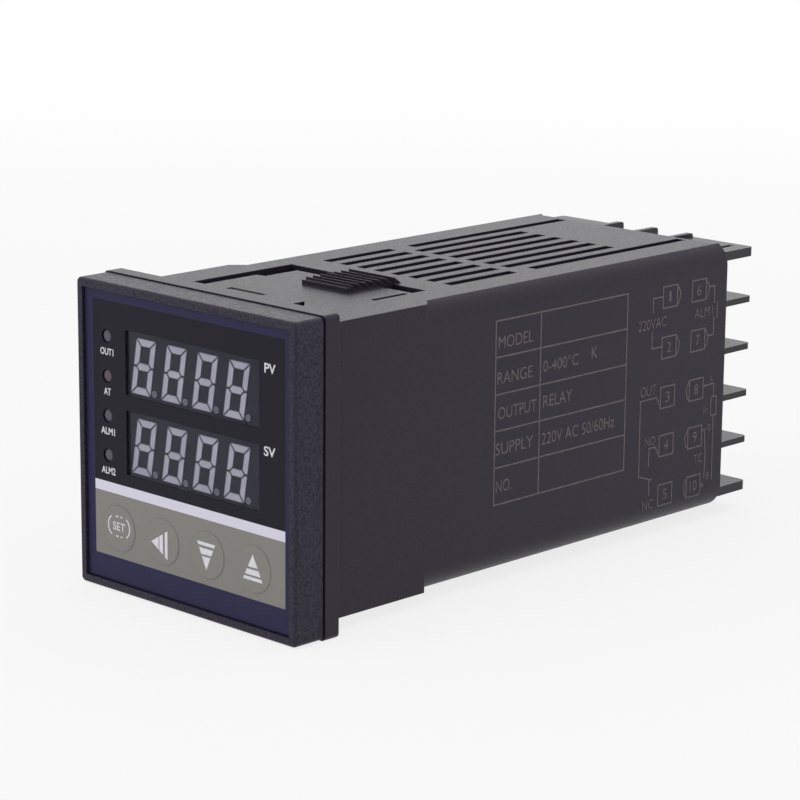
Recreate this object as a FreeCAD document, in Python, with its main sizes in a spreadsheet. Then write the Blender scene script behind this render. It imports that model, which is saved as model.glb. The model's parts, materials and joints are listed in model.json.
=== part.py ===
import FreeCAD, Part
import os
import Sketcher

# Panel-mounted PID temperature controller with a 48 x 48 mm face.
# A vented case carries the terminal block at its rear. The front frame, the displays and the
# two long circuit boards are one chassis, which draws out of the case through its front.
# Millimetres. X runs to the right and Z upwards as the face is looked at, and Y runs from the
# panel into the cabinet. The origin is the centre of the panel cut-out, on the panel's face.

doc = FreeCAD.newDocument("temperature_controller")

SIZES = {
    # flange and case
    "flange_width": 48.0,
    "flange_depth": 2.75,
    "flange_corner": 0.8,
    "case_width": 43.0,
    "case_height": 44.2,
    "case_length": 91.9,
    "case_wall": 1.6,
    "corner_radius": 4.0,
    "corner_drop": 3.5,
    "corner_start": 20.5,
    "relief_depth": 0.9,
    "relief_inset": 2.3,
    # cooling slots in the top and bottom walls
    "vent_width": 1.85,
    "vent_pitch": 3.74,
    "vent_count": 8,
    "front_vent_start": 33.7,
    "front_vent_length": 14.9,
    "rear_vent_start": 50.7,
    "rear_vent_length": 25.7,
    "long_vent_start": 52.9,
    "long_vent_length": 37.2,
    # spring tongue with the ratchet that holds the mounting bracket
    "tongue_start": 7.3,
    "tongue_end": 25.0,
    "tongue_left": 12.5,
    "side_slot_width": 2.6,
    "notch_start": 18.0,
    "notch_width": 1.7,
    "notch_slope": 0.3,
    "rear_slot_width": 2.9,
    "rear_slot_right": 14.1,
    "thin_slot_left": 13.3,
    "thin_slot_width": 0.9,
    "thin_slot_start": 16.9,
    "thin_slot_length": 7.1,
    "snap_hole_left": 7.5,
    "snap_hole_start": 6.6,
    "snap_hole_side": 2.4,
    "groove_left": 7.8,
    "groove_length": 7.7,
    "groove_width": 1.2,
    "groove_depth": 0.15,
    "ratchet_center": 2.55,
    "ratchet_width": 9.7,
    "ratchet_start": 17.9,
    "ratchet_lead": 0.8,
    "ratchet_lead_height": 0.7,
    "ratchet_pitch": 1.5,
    "ratchet_count": 6,
    "ratchet_height": 1.05,
    "ratchet_valley": 0.1,
    "ratchet_crest": 0.15,
    # guide ribs for the circuit boards
    "rib_width": 1.1,
    "rib_height": 1.6,
    "rib_start": 6.0,
    "rib_end_gap": 2.0,
    # front frame
    "frame_inset": 0.2,
    "frame_depth": 8.5,
    "frame_seam": 0.25,
    "frame_corner": 0.8,
    "frame_edge": 0.45,
    "frame_rim": 3.0,
    "frame_plate": 2.0,
    "film_recess": 0.5,
    "film_lip": 1.3,
    "film_thickness": 0.4,
    "film_gap": 0.1,
    "skirt_wall": 1.0,
    "skirt_length": 4.0,
    "slide_gap": 0.2,
    "latch_width": 3.6,
    "latch_length": 5.8,
    "latch_side_gap": 0.6,
    "nib_rise": 0.1,
    # windows and display modules
    "window_width": 29.0,
    "window_height": 9.9,
    "window_x": 1.25,
    "window_z": 12.15,
    "row_pitch": 12.3,
    "module_width": 30.6,
    "module_height": 12.0,
    "module_gap": 0.2,
    "module_x": 0.6,
    "pane_gap": 0.05,
    "pane_thickness": 0.25,
    "face_gap": 0.15,
    "digit_height": 8.6,
    "digit_width": 4.4,
    "digit_pitch": 6.76,
    "digit_count": 4,
    "digit_x": 0.5,
    "digit_z": 11.9,
    "digit_slant": 0.17,
    "segment_width": 1.15,
    "segment_gap": 0.12,
    "segment_rise": 0.12,
    "point_radius": 0.5,
    "point_offset": 3.0,
    # indicator lamps
    "lamp_radius": 0.95,
    "lamp_hole": 1.05,
    "lamp_inset": 6.25,
    "lamp_z": 15.5,
    "lamp_pitch": 6.13,
    "lamp_count": 4,
    "lamp_set_back": 0.1,
    # keys
    "key_pitch": 9.9,
    "key_x": 0.25,
    "key_inset": 9.9,
    "key_radius": 2.6,
    "key_bore": 2.8,
    "key_flange_radius": 3.4,
    "key_flange": 0.8,
    "key_rest_gap": 0.2,
    "dome_radius": 3.6,
    "dome_height": 0.1,
    "stem_radius": 1.6,
    "stem_bore": 1.7,
    "stem_length": 1.3,
    "stem_bore_depth": 1.3,
    "switch_width": 6.0,
    "switch_height": 2.6,
    # circuit boards
    "board_thickness": 1.6,
    "front_board_y": 1.5,
    "board_clearance": 0.3,
    "side_board_gap": 2.3,
    "board_front_gap": 0.3,
    "board_shoulder": 5.2,
    "board_notch": 1.7,
    "board_tongue": 7.4,
    "board_end_gap": 0.6,
    # transformer on the supply board
    "core_y": 26.0,
    "core_length": 28.0,
    "core_height": 23.5,
    "core_stack": 10.0,
    "core_leg": 8.0,
    "core_window": 5.0,
    "core_yoke": 4.0,
    "coil_lift": 2.2,
    "coil_gap": 0.15,
    "coil_depth": 14.5,
    # relays
    "relay_y": 62.0,
    "relay_length": 19.0,
    "relay_height": 15.4,
    "relay_depth": 15.0,
    "relay_z": 8.6,
    "relay_corner": 0.6,
    # small parts in the gap between transformer and relays
    "gap_row_y": 46.3,
    "small_can_radius": 3.15,
    "small_can_length": 11.0,
    "small_can_z": -6.5,
    "small_can_pitch": 7.0,
    "diode_radius": 1.35,
    "diode_length": 5.2,
    "diode_z": 8.0,
    "diode_pitch": 3.2,
    "diode_lift": 1.7,
    "varistor_radius": 5.0,
    "varistor_thickness": 3.8,
    "varistor_z": 14.8,
    "varistor_lift": 0.4,
    # parts on the signal board
    "large_can_radius": 5.0,
    "large_can_length": 16.0,
    "large_can_y": 47.0,
    "large_can_z": 11.0,
    "can_foot": 1.2,
    "can_crimp": 0.35,
    "can_crimp_length": 0.8,
    "chip_y": 30.0,
    "chip_z": 9.0,
    "chip_length": 36.0,
    "chip_width": 6.4,
    "chip_lift": 0.5,
    "chip_height": 3.4,
    "chip_pin_pitch": 2.54,
    "chip_pins": 14,
    "pin_width": 0.5,
    "pin_reach": 0.6,
    "small_chip_y": 62.0,
    "small_chip_length": 9.4,
    "small_chip_pins": 4,
    "crystal_y": 51.9,
    "crystal_length": 11.0,
    "crystal_width": 4.4,
    "crystal_height": 3.5,
    "regulator_y": 75.0,
    "regulator_z": 10.0,
    "regulator_width": 10.0,
    "regulator_height": 9.0,
    "regulator_thickness": 4.4,
    "regulator_lead": 3.5,
    "tab_height": 6.3,
    "tab_thickness": 1.3,
    "tab_hole": 1.8,
    # plug strips between the front board and the side boards
    "strip_length": 25.4,
    "strip_depth": 2.5,
    # terminal block
    "block_plug": 5.0,
    "block_set_in": 0.9,
    "block_gap": 0.1,
    "fin_reach": 7.6,
    "fin_side_inset": 0.6,
    "fin_root_inset": 0.9,
    "fin_root_gap": 0.2,
    "fin_overlap": 1.0,
    "fin_thickness": 1.0,
    "outer_fin_thickness": 1.5,
    "fin_corner": 0.8,
    "terminal_margin": 2.1,
    "terminal_count": 5,
    "terminal_inset": 7.3,
    "divider_thickness": 1.0,
    "divider_pitch": 7.6,
    "divider_inset": 0.7,
    "divider_corner": 0.55,
    "top_notch_inset": 3.4,
    "top_notch_width": 1.0,
    "top_notch_start": 0.9,
    "top_notch_length": 5.0,
    # terminal hardware
    "contact_thickness": 0.8,
    "contact_width": 5.0,
    "contact_reach": 3.6,
    "leaf_gap": 0.3,
    "leaf_thickness": 0.6,
    "leaf_overlap": 6.4,
    "leaf_slot_gap": 0.2,
    "washer_width": 6.0,
    "washer_thickness": 0.8,
    "screw_radius": 1.45,
    "screw_hole": 1.6,
    "screw_length": 5.2,
    "screw_well": 1.9,
    "screw_well_depth": 4.2,
    "screw_head_radius": 2.75,
    "screw_head_height": 2.0,
    "recess_width": 0.7,
    "recess_length": 3.0,
    "recess_depth": 1.1,
}

sheet = doc.addObject("Spreadsheet::Sheet", "Sizes")
for row, (alias, value) in enumerate(SIZES.items(), start=1):
    sheet.set(f"A{row}", alias.replace("_", " "))
    sheet.set(f"B{row}", str(value))
    sheet.setAlias(f"B{row}", alias)
doc.recompute()


class Length:
    """A size worked out from the sheet, held both as an expression and as a number."""

    def __init__(self, text, number):
        self.text = text
        self.number = number

    def __add__(self, other):
        other = length(other)
        return Length(f"({self.text} + {other.text})", self.number + other.number)

    def __sub__(self, other):
        other = length(other)
        return Length(f"({self.text} - {other.text})", self.number - other.number)

    def __mul__(self, other):
        other = length(other)
        return Length(f"({self.text} * {other.text})", self.number * other.number)

    def __truediv__(self, other):
        other = length(other)
        return Length(f"({self.text} / {other.text})", self.number / other.number)

    def __neg__(self):
        return Length(f"(0 - {self.text})", -self.number)

    def __radd__(self, other):
        return length(other) + self

    def __rsub__(self, other):
        return length(other) - self

    def __rmul__(self, other):
        return length(other) * self


def length(value):
    """Turn a plain number into a Length, and leave a Length as it is."""
    if isinstance(value, Length):
        return value
    return Length(repr(float(value)), float(value))


def bind(thing, path, value):
    """Tie one property of a document object to an expression of the sheet."""
    thing.setExpression(path, length(value).text)


class SheetSizes:
    """Every alias of the sheet as a Length."""


S = SheetSizes()
for alias, value in SIZES.items():
    setattr(S, alias, Length(f"Sizes.{alias}", value))

# ---------------------------------------------------------------- drawing helpers

FACES_BACK = "XZ_Plane"  # this plane's normal points to -Y, the other two point to +
TOUCH = 1e-3  # two places closer than this are the same place
HEAD_TAPER = -12  # degrees by which a screw head narrows to the rear
CRYSTAL_END = 0.45  # rounding of the crystal's ends, as a share of its width


def new_body(label):
    """An empty PartDesign body, which may hold several separate solids."""
    body = doc.addObject("PartDesign::Body", label)
    body.Label = label
    body.AllowCompound = True
    return body


def origin_feature(body, role):
    """One of the planes or axes of a body's own origin."""
    for feature in body.Origin.OriginFeatures:
        if feature.Role == role:
            return feature
    raise ValueError(role)


def draw_loops(drawing, loops):
    """Fill a sketch with closed loops of corners, or ("circle", across, up, radius)."""
    point = FreeCAD.Vector
    for loop in loops:
        first = drawing.GeometryCount
        if loop[0] == "circle":
            across, up, radius = (length(value) for value in loop[1:])
            centre = point(across.number, up.number, 0)
            drawing.addGeometry(Part.Circle(centre, point(0, 0, 1), radius.number), False)
            anchors = [(first, 3, across, up)]
            ring = drawing.addConstraint(Sketcher.Constraint("Radius", first, radius.number))
            bind(drawing, f"Constraints[{ring}]", radius)
        else:
            corners = [(length(across), length(up)) for across, up in loop]
            count = len(corners)
            lines = []
            for index in range(count):
                start = corners[index]
                stop = corners[(index + 1) % count]
                here = point(start[0].number, start[1].number, 0)
                there = point(stop[0].number, stop[1].number, 0)
                lines.append(Part.LineSegment(here, there))
            drawing.addGeometry(lines, False)
            joints = []
            for index in range(count):
                following = first + (index + 1) % count
                joints.append(Sketcher.Constraint("Coincident", first + index, 2, following, 1))
            drawing.addConstraint(joints)
            anchors = [(first + index, 1, *corner) for index, corner in enumerate(corners)]
        for element, spot, across, up in anchors:
            for kind, value in (("DistanceX", across), ("DistanceY", up)):
                rule = Sketcher.Constraint(kind, -1, 1, element, spot, value.number)
                bind(drawing, f"Constraints[{drawing.addConstraint(rule)}]", value)


def sketch(body, plane, name, loops, level):
    """A sketch of loops, parallel to one of the body's origin planes, at a level along its axis."""
    drawing = body.newObject("Sketcher::SketchObject", name)
    drawing.AttachmentSupport = [(origin_feature(body, plane), "")]
    drawing.MapMode = "FlatFace"
    level = length(level)
    bind(drawing, "AttachmentOffset.Base.z", -level if plane == FACES_BACK else level)
    draw_loops(drawing, loops)
    return drawing


def pad(body, plane, name, loops, low, high, taper=0):
    """Extrude loops from one level to a higher one."""
    feature = body.newObject("PartDesign::Pad", name)
    feature.Profile = sketch(body, plane, name + "_sketch", loops, low)
    bind(feature, "Length", length(high) - length(low))
    feature.Reversed = plane == FACES_BACK
    feature.TaperAngle = taper
    return feature


def pocket(body, plane, name, loops, low, high):
    """Cut loops away between two levels."""
    feature = body.newObject("PartDesign::Pocket", name)
    feature.Profile = sketch(body, plane, name + "_sketch", loops, low)
    bind(feature, "Length", length(high) - length(low))
    feature.Reversed = plane != FACES_BACK
    return feature


def pocket_through(body, plane, name, loops):
    """Cut loops through everything, on both sides of an origin plane."""
    feature = body.newObject("PartDesign::Pocket", name)
    feature.Profile = sketch(body, plane, name + "_sketch", loops, 0)
    feature.Type = "ThroughAll"
    feature.SideType = "Symmetric"
    return feature


def repeat(body, name, features, axis, step, count):
    """Repeat features along +axis, a step apart."""
    pattern = body.newObject("PartDesign::LinearPattern", name)
    pattern.Originals = features
    pattern.Direction = (origin_feature(body, axis + "_Axis"), [""])
    bind(pattern, "Length", length(step) * (length(count) - 1))
    bind(pattern, "Occurrences", count)
    body.Tip = pattern
    return pattern


def mirror(body, name, features, plane):
    """Mirror features in one of the origin planes."""
    reflection = body.newObject("PartDesign::Mirrored", name)
    reflection.Originals = features
    reflection.MirrorPlane = (origin_feature(body, plane), [""])
    body.Tip = reflection
    return reflection


def round_edges(body, base, name, radius, chosen):
    """Round the edges of a feature that a test picks."""
    doc.recompute()
    fillet = body.newObject("PartDesign::Fillet", name)
    names = [f"Edge{index}" for index, edge in enumerate(base.Shape.Edges, start=1) if chosen(edge)]
    fillet.Base = (base, names)
    bind(fillet, "Radius", radius)
    body.Tip = fillet
    return fillet


def runs_along(edge, axis):
    """True where a straight edge is parallel to an axis."""
    first, last = edge.Vertexes[0].Point, edge.Vertexes[-1].Point
    span = last - first
    along = getattr(span, axis)
    return span.Length > 0 and abs(abs(along) - span.Length) < TOUCH


def rectangle(left, low, right, high):
    """The four corners of a rectangle."""
    return [(left, low), (right, low), (right, high), (left, high)]


def centred(half_width, half_height, across=0, up=0):
    """The corners of a rectangle about a centre."""
    across, up = length(across), length(up)
    return rectangle(across - half_width, up - half_height, across + half_width, up + half_height)


def block(name, low, high):
    """A Part box between two corners, every side bound to the sheet."""
    box = doc.addObject("Part::Box", name)
    for side, axis, start, stop in zip(("Length", "Width", "Height"), "xyz", low, high):
        bind(box, side, length(stop) - length(start))
        bind(box, f"Placement.Base.{axis}", start)
    return box


TURN = {
    "X": FreeCAD.Rotation(FreeCAD.Vector(0, 1, 0), 90),
    "Y": FreeCAD.Rotation(FreeCAD.Vector(1, 0, 0), -90),
    "Z": FreeCAD.Rotation(),
}


def rod(name, axis, radius, start, long):
    """A Part cylinder that starts at a point and runs along +axis."""
    cylinder = doc.addObject("Part::Cylinder", name)
    cylinder.Placement = FreeCAD.Placement(FreeCAD.Vector(), TURN[axis])
    bind(cylinder, "Radius", radius)
    bind(cylinder, "Height", long)
    for letter, value in zip("xyz", start):
        bind(cylinder, f"Placement.Base.{letter}", value)
    return cylinder


def cut(name, base, tool):
    """One shape less another."""
    result = doc.addObject("Part::Cut", name)
    result.Base = base
    result.Tool = tool
    return result


def gather(name, shapes):
    """Separate solids kept together as one group."""
    result = doc.addObject("Part::Compound", name)
    result.Links = shapes
    return result


PARTS = {}


def keep(name, thing):
    """Register a finished sub-part under its node's name."""
    thing.Label = name
    PARTS[name] = thing
    return thing


# ---------------------------------------------------------------- values worked out once

half_flange = S.flange_width / 2
half_case = S.case_width / 2
top = S.case_height / 2
inner_half = half_case - S.case_wall
inner_top = top - S.case_wall
relief_half = half_case - S.relief_inset
corner_margin = S.corner_radius / 4
frame_half = half_flange - S.frame_inset
film_half = frame_half - S.film_lip - S.film_gap
frame_front = -S.frame_depth
frame_back = -(S.flange_depth + S.frame_seam)
film_front = frame_front + S.film_recess
film_back = film_front + S.film_thickness
plate_back = film_back + S.frame_plate
skirt_half = inner_half - S.slide_gap
skirt_top = inner_top - S.slide_gap
front_board_face = -S.front_board_y
front_board_back = front_board_face + S.board_thickness
module_face = film_back + S.face_gap
block_floor = S.case_length - S.block_set_in
block_start = block_floor - S.block_plug
fin_end = S.case_length + S.fin_reach
board_end = block_start - S.board_end_gap
board_step = board_end - S.board_tongue
board_half_height = inner_top - S.board_clearance
board_outer_x = inner_half - S.side_board_gap
side_board_x = board_outer_x - S.board_thickness
leaf_x = board_outer_x + S.leaf_gap
terminal_x = half_case - S.terminal_inset
terminal_pitch = (S.case_height - S.terminal_margin * 2) / S.terminal_count
lamp_x = frame_half - S.lamp_inset

# ---------------------------------------------------------------- outer case


def ratchet_teeth(first, count):
    """Saw teeth along Y from a place on: each stands upright in front and slopes down behind."""
    valley = top + S.ratchet_valley
    crest = top + S.ratchet_height
    corners = []
    for tooth in range(count):
        foot = first + S.ratchet_pitch * tooth
        corners.append((foot, valley))
        corners.append((foot, crest))
        corners.append((foot + S.ratchet_crest, crest))
    corners.append((first + S.ratchet_pitch * count, valley))
    return corners


def ratchet_outline():
    """The tongue's teeth, with a lower step before the first."""
    base = top - S.case_wall / 2
    step = top + S.ratchet_lead_height
    first = S.ratchet_start + S.ratchet_lead
    teeth = ratchet_teeth(first, int(S.ratchet_count.number))
    lead = [(S.ratchet_start, base), (S.ratchet_start, step), (first, step)]
    return lead + teeth[1:] + [(teeth[-1][0], base)]


def stop_outline(start):
    """One more tooth, which stands on the case behind the slot."""
    base = top - S.case_wall / 2
    teeth = ratchet_teeth(start, 1)
    return [(start, base), *teeth[1:], (teeth[-1][0], base)]


def corner_cutter():
    """What is taken off one long edge: straight, but for the arc and a 45 degree run-in."""
    outside = half_case + corner_margin
    inside = half_case - S.corner_radius
    start = S.corner_start - corner_margin
    end = S.case_length + corner_margin
    plan = [(outside, start), (outside, end), (inside, end), (inside, S.corner_start + S.corner_radius)]
    drawing = doc.addObject("Sketcher::SketchObject", "corner_plan")
    draw_loops(drawing, [plan])
    bind(drawing, "Placement.Base.z", top - S.corner_drop)
    bar = doc.addObject("Part::Extrusion", "corner_bar")
    bar.Base = drawing
    bar.Dir = FreeCAD.Vector(0, 0, 1)
    bar.Solid = True
    bind(bar, "LengthFwd", S.corner_drop + corner_margin)
    core_start = (inside, start - corner_margin, top - S.corner_drop)
    core = rod("corner_core", "Y", S.corner_radius, core_start, end + corner_margin * 2 - start)
    return cut("corner_cutter", bar, core)


def reflect(name, source, normal):
    """A mirror image in a plane through the origin."""
    image = doc.addObject("Part::Mirroring", name)
    image.Source = source
    image.Normal = normal
    return image


def make_case():
    """Case moulding: flange, ribbed and vented sleeve, spring tongues, rounded rear edges."""
    body = new_body("case_moulding")
    flange = pad(body, "XZ_Plane", "flange", [centred(half_flange, half_flange)], -S.flange_depth, 0)
    round_edges(body, flange, "flange_corners", S.flange_corner, lambda edge: runs_along(edge, "y"))
    pad(body, "XZ_Plane", "sleeve", [centred(half_case, top)], 0, S.case_length)
    pocket(body, "XZ_Plane", "cavity", [centred(inner_half, inner_top)], -S.flange_depth, S.case_length)

    ribs = []
    for side in (-1, 1):
        for start in (side_board_x - S.slide_gap - S.rib_width, board_outer_x + S.slide_gap):
            for low, high in ((inner_top - S.rib_height, inner_top), (-inner_top, S.rib_height - inner_top)):
                edges = (start * side, (start + S.rib_width) * side)
                left, right = edges if side > 0 else edges[::-1]
                ribs.append(rectangle(left, low, right, high))
    pad(body, "XZ_Plane", "board_ribs", ribs, S.rib_start, board_step - S.rib_end_gap)

    first_vent = -S.vent_pitch * (S.vent_count - 1) / 2
    for name, skipped, start, long in (
        ("front_vent", 0, S.front_vent_start, S.front_vent_length),
        ("rear_vent", 1, S.rear_vent_start, S.rear_vent_length),
    ):
        middle = first_vent + S.vent_pitch * skipped
        slot = rectangle(middle - S.vent_width / 2, start, middle + S.vent_width / 2, start + long)
        vent = pocket_through(body, "XY_Plane", name, [slot])
        repeat(body, name + "s", [vent], "X", S.vent_pitch, S.vent_count - 2 * skipped)
    left, right = first_vent - S.vent_width / 2, first_vent + S.vent_width / 2
    slot = rectangle(left, S.long_vent_start, right, S.long_vent_start + S.long_vent_length)
    long_vent = pocket_through(body, "XY_Plane", "long_vent", [slot])
    repeat(body, "long_vents", [long_vent], "X", S.vent_pitch * (S.vent_count - 1), 2)

    pad_left = S.ratchet_center - S.ratchet_width / 2
    pad_right = pad_left + S.ratchet_width
    pad_end = S.ratchet_start + S.ratchet_lead + S.ratchet_pitch * S.ratchet_count
    outer_left = -(S.tongue_left + S.side_slot_width)
    slot_end = S.tongue_end + S.rear_slot_width
    tongue_cut = [
        (outer_left, S.tongue_start),
        (-S.tongue_left, S.tongue_start),
        (-S.tongue_left, S.notch_start),
        (S.notch_width - S.tongue_left, S.notch_start + S.notch_slope),
        (S.notch_width - S.tongue_left, S.tongue_end),
        (pad_left, S.tongue_end),
        (pad_left, pad_end),
        (pad_right, pad_end),
        (pad_right, S.tongue_end),
        (S.rear_slot_right, S.tongue_end),
        (S.rear_slot_right, slot_end),
        (outer_left, slot_end),
    ]
    thin_right = S.thin_slot_left + S.thin_slot_width
    thin_end = S.thin_slot_start + S.thin_slot_length
    thin_slot = rectangle(S.thin_slot_left, S.thin_slot_start, thin_right, thin_end)
    snap_hole = [
        (S.snap_hole_left, S.snap_hole_start),
        (S.snap_hole_left + S.snap_hole_side, S.snap_hole_start),
        (S.snap_hole_left, S.snap_hole_start + S.snap_hole_side),
    ]
    pocket_through(body, "XY_Plane", "tongue_slots", [tongue_cut, thin_slot, snap_hole])
    groove_right = S.groove_length - S.groove_left
    groove = rectangle(-S.groove_left, S.tongue_start, groove_right, S.tongue_start + S.groove_width)
    bend = pocket(body, "XY_Plane", "bend_groove", [groove], top - S.groove_depth, top)
    teeth = pad(body, "YZ_Plane", "ratchet", [ratchet_outline()], pad_left, pad_right)
    stop = pad(body, "YZ_Plane", "ratchet_stop", [stop_outline(slot_end)], pad_left, pad_right)
    mirror(body, "lower_tongue", [bend, teeth, stop], "XY_Plane")

    relief_floor = S.case_length - S.relief_depth
    relief = [
        (S.relief_depth - relief_half, relief_floor),
        (relief_half - S.relief_depth, relief_floor),
        (relief_half, S.case_length),
        (-relief_half, S.case_length),
    ]
    pocket_through(body, "XY_Plane", "rear_relief", [relief])

    upper_right = corner_cutter()
    upper_left = reflect("corner_upper_left", upper_right, (1, 0, 0))
    uppers = gather("upper_corners", [upper_right, upper_left])
    lowers = reflect("lower_corners", uppers, (0, 0, 1))
    keep("outer_case", cut("case", body, gather("long_corners", [uppers, lowers])))


make_case()

# ---------------------------------------------------------------- terminal block


def make_terminal_block():
    """Rear moulding: a base plugged into the case, barrier fins and three dividers behind it."""
    body = new_body("terminal_block")
    base = centred(inner_half - S.block_gap, inner_top - S.block_gap)
    pad(body, "XZ_Plane", "base", [base], block_start, block_floor)

    root_end = S.case_length + S.fin_root_gap
    inner = S.divider_pitch
    fin_foot = block_floor - S.fin_overlap
    fin_root = inner_half - S.fin_root_inset
    fin_half = half_case - S.fin_side_inset
    right_fin = [
        (inner, fin_foot),
        (fin_root, fin_foot),
        (fin_root, root_end),
        (fin_half, root_end),
        (fin_half, fin_end),
        (inner, fin_end),
    ]
    left_fin = [(-across, along) for across, along in right_fin]
    half_thick = S.fin_thickness / 2
    first = -terminal_pitch * (S.terminal_count - 2) / 2
    fins = pad(body, "XY_Plane", "inner_fin", [right_fin, left_fin], first - half_thick, first + half_thick)
    repeat(body, "inner_fins", [fins], "Z", terminal_pitch, S.terminal_count - 1)

    # the outermost pair stands clear of the case's top and bottom walls, so it starts at the floor
    outer = terminal_pitch * S.terminal_count / 2 + S.outer_fin_thickness / 2
    end_root = relief_half - S.relief_depth - S.fin_root_gap
    end_fin = [(inner, block_floor), (end_root, block_floor), (end_root, root_end), *right_fin[3:]]
    loops = [end_fin, [(-across, along) for across, along in end_fin]]
    pad(body, "XY_Plane", "top_fin", loops, outer - S.outer_fin_thickness, outer)
    pad(body, "XY_Plane", "bottom_fin", loops, -outer, S.outer_fin_thickness - outer)

    half = S.divider_thickness / 2
    tall = top - S.divider_inset
    rise = inner_top - S.block_gap
    upper = [(fin_end, tall), (root_end, tall), (root_end, rise), (fin_foot, rise)]
    divider = [(along, -up) for along, up in reversed(upper)] + upper
    wall = pad(body, "YZ_Plane", "divider", [divider], -(S.divider_pitch + half), half - S.divider_pitch)
    walls = repeat(body, "dividers", [wall], "X", S.divider_pitch, 3)

    def at_rear(edge, axis, reach):
        """True for a rear edge that lies a distance from the middle along an axis."""
        spot = edge.CenterOfMass
        aside = abs(abs(getattr(spot, axis)) - reach.number)
        return abs(spot.y - fin_end.number) < TOUCH and aside < TOUCH

    def fin_corner(edge):
        """The outer rear corners of the fins."""
        return runs_along(edge, "z") and at_rear(edge, "x", fin_half)

    def divider_corner(edge):
        """The upper and lower rear corners of the dividers."""
        return runs_along(edge, "x") and at_rear(edge, "z", tall)

    rounded = round_edges(body, walls, "fin_corners", S.fin_corner, fin_corner)
    round_edges(body, rounded, "divider_corners", S.divider_corner, divider_corner)

    half_leaf = S.leaf_thickness / 2 + S.leaf_slot_gap
    middle = leaf_x + S.leaf_thickness / 2
    low = -terminal_pitch * (S.terminal_count - 1) / 2
    half_slot = S.contact_width / 2 + S.leaf_slot_gap
    slots = [centred(half_leaf, half_slot, middle * side, low) for side in (-1, 1)]
    slot = pocket(body, "XZ_Plane", "leaf_slot", slots, block_start, block_floor)
    wells = [centred(S.screw_well, S.screw_well, terminal_x * side, low) for side in (-1, 1)]
    well = pocket(body, "XZ_Plane", "screw_well", wells, block_floor - S.screw_well_depth, block_floor)
    repeat(body, "terminal_seats", [slot, well], "Z", terminal_pitch, S.terminal_count)

    notch_right = half_case - S.top_notch_inset
    notch_start = S.case_length + S.top_notch_start
    notch_end = notch_start + S.top_notch_length
    notch = rectangle(notch_right - S.top_notch_width, notch_start, notch_right, notch_end)
    pocket(body, "XY_Plane", "top_notch", [notch], outer - S.outer_fin_thickness, outer)
    keep("terminal_block", body)


make_terminal_block()

# ---------------------------------------------------------------- terminal hardware

contact_back = block_floor + S.contact_thickness
washer_back = contact_back + S.washer_thickness
lowest_terminal = -terminal_pitch * (S.terminal_count - 1) / 2


def make_contacts():
    """Angle strips: a plate under each screw, and a leaf that reaches in to the board."""
    body = new_body("terminal_contacts")
    inner = terminal_x - S.contact_reach
    leaf_start = board_end - S.leaf_overlap
    leaf_out = leaf_x + S.leaf_thickness
    right = [
        (inner, block_floor),
        (leaf_x, block_floor),
        (leaf_x, leaf_start),
        (leaf_out, leaf_start),
        (leaf_out, contact_back),
        (inner, contact_back),
    ]
    left = [(-across, along) for across, along in right]
    half = S.contact_width / 2
    low, high = lowest_terminal - half, lowest_terminal + half
    strip = pad(body, "XY_Plane", "strip", [right, left], low, high)
    holes = [("circle", terminal_x * side, lowest_terminal, S.screw_hole) for side in (-1, 1)]
    hole = pocket(body, "XZ_Plane", "screw_hole", holes, block_floor, contact_back)
    repeat(body, "strips", [strip, hole], "Z", terminal_pitch, S.terminal_count)
    keep("terminal_contacts", body)


def make_washers():
    """Square clamping plates, held captive under the screw heads."""
    body = new_body("terminal_washers")
    loops = []
    for side in (-1, 1):
        half = S.washer_width / 2
        loops.append(centred(half, half, terminal_x * side, lowest_terminal))
        loops.append(("circle", terminal_x * side, lowest_terminal, S.screw_hole))
    plate = pad(body, "XZ_Plane", "plate", loops, contact_back, washer_back)
    repeat(body, "plates", [plate], "Z", terminal_pitch, S.terminal_count)
    keep("terminal_washers", body)


def make_screws():
    """Pan-head terminal screws with a cross recess."""
    body = new_body("terminal_screws")
    head_back = washer_back + S.screw_head_height
    centres = [(terminal_x * side, lowest_terminal) for side in (-1, 1)]
    heads = [("circle", across, up, S.screw_head_radius) for across, up in centres]
    shanks = [("circle", across, up, S.screw_radius) for across, up in centres]
    head = pad(body, "XZ_Plane", "head", heads, washer_back, head_back, HEAD_TAPER)
    shank = pad(body, "XZ_Plane", "shank", shanks, washer_back - S.screw_length, washer_back)
    bars = []
    for across, up in centres:
        wide, tall = S.recess_length / 2, S.recess_width / 2
        bars.append([
            (across - wide, up - tall), (across - tall, up - tall), (across - tall, up - wide),
            (across + tall, up - wide), (across + tall, up - tall), (across + wide, up - tall),
            (across + wide, up + tall), (across + tall, up + tall), (across + tall, up + wide),
            (across - tall, up + wide), (across - tall, up + tall), (across - wide, up + tall),
        ])
    recess = pocket(body, "XZ_Plane", "recess", bars, head_back - S.recess_depth, head_back)
    repeat(body, "screws", [head, shank, recess], "Z", terminal_pitch, S.terminal_count)
    keep("terminal_screws", body)


make_contacts()
make_washers()
make_screws()

# ---------------------------------------------------------------- front frame and film

lowest_key = S.key_inset - frame_half
first_key = -(S.key_x + S.key_pitch * 1.5)
lowest_lamp = S.lamp_z - S.lamp_pitch * (S.lamp_count - 1)
lower_row = S.window_z - S.row_pitch


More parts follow.
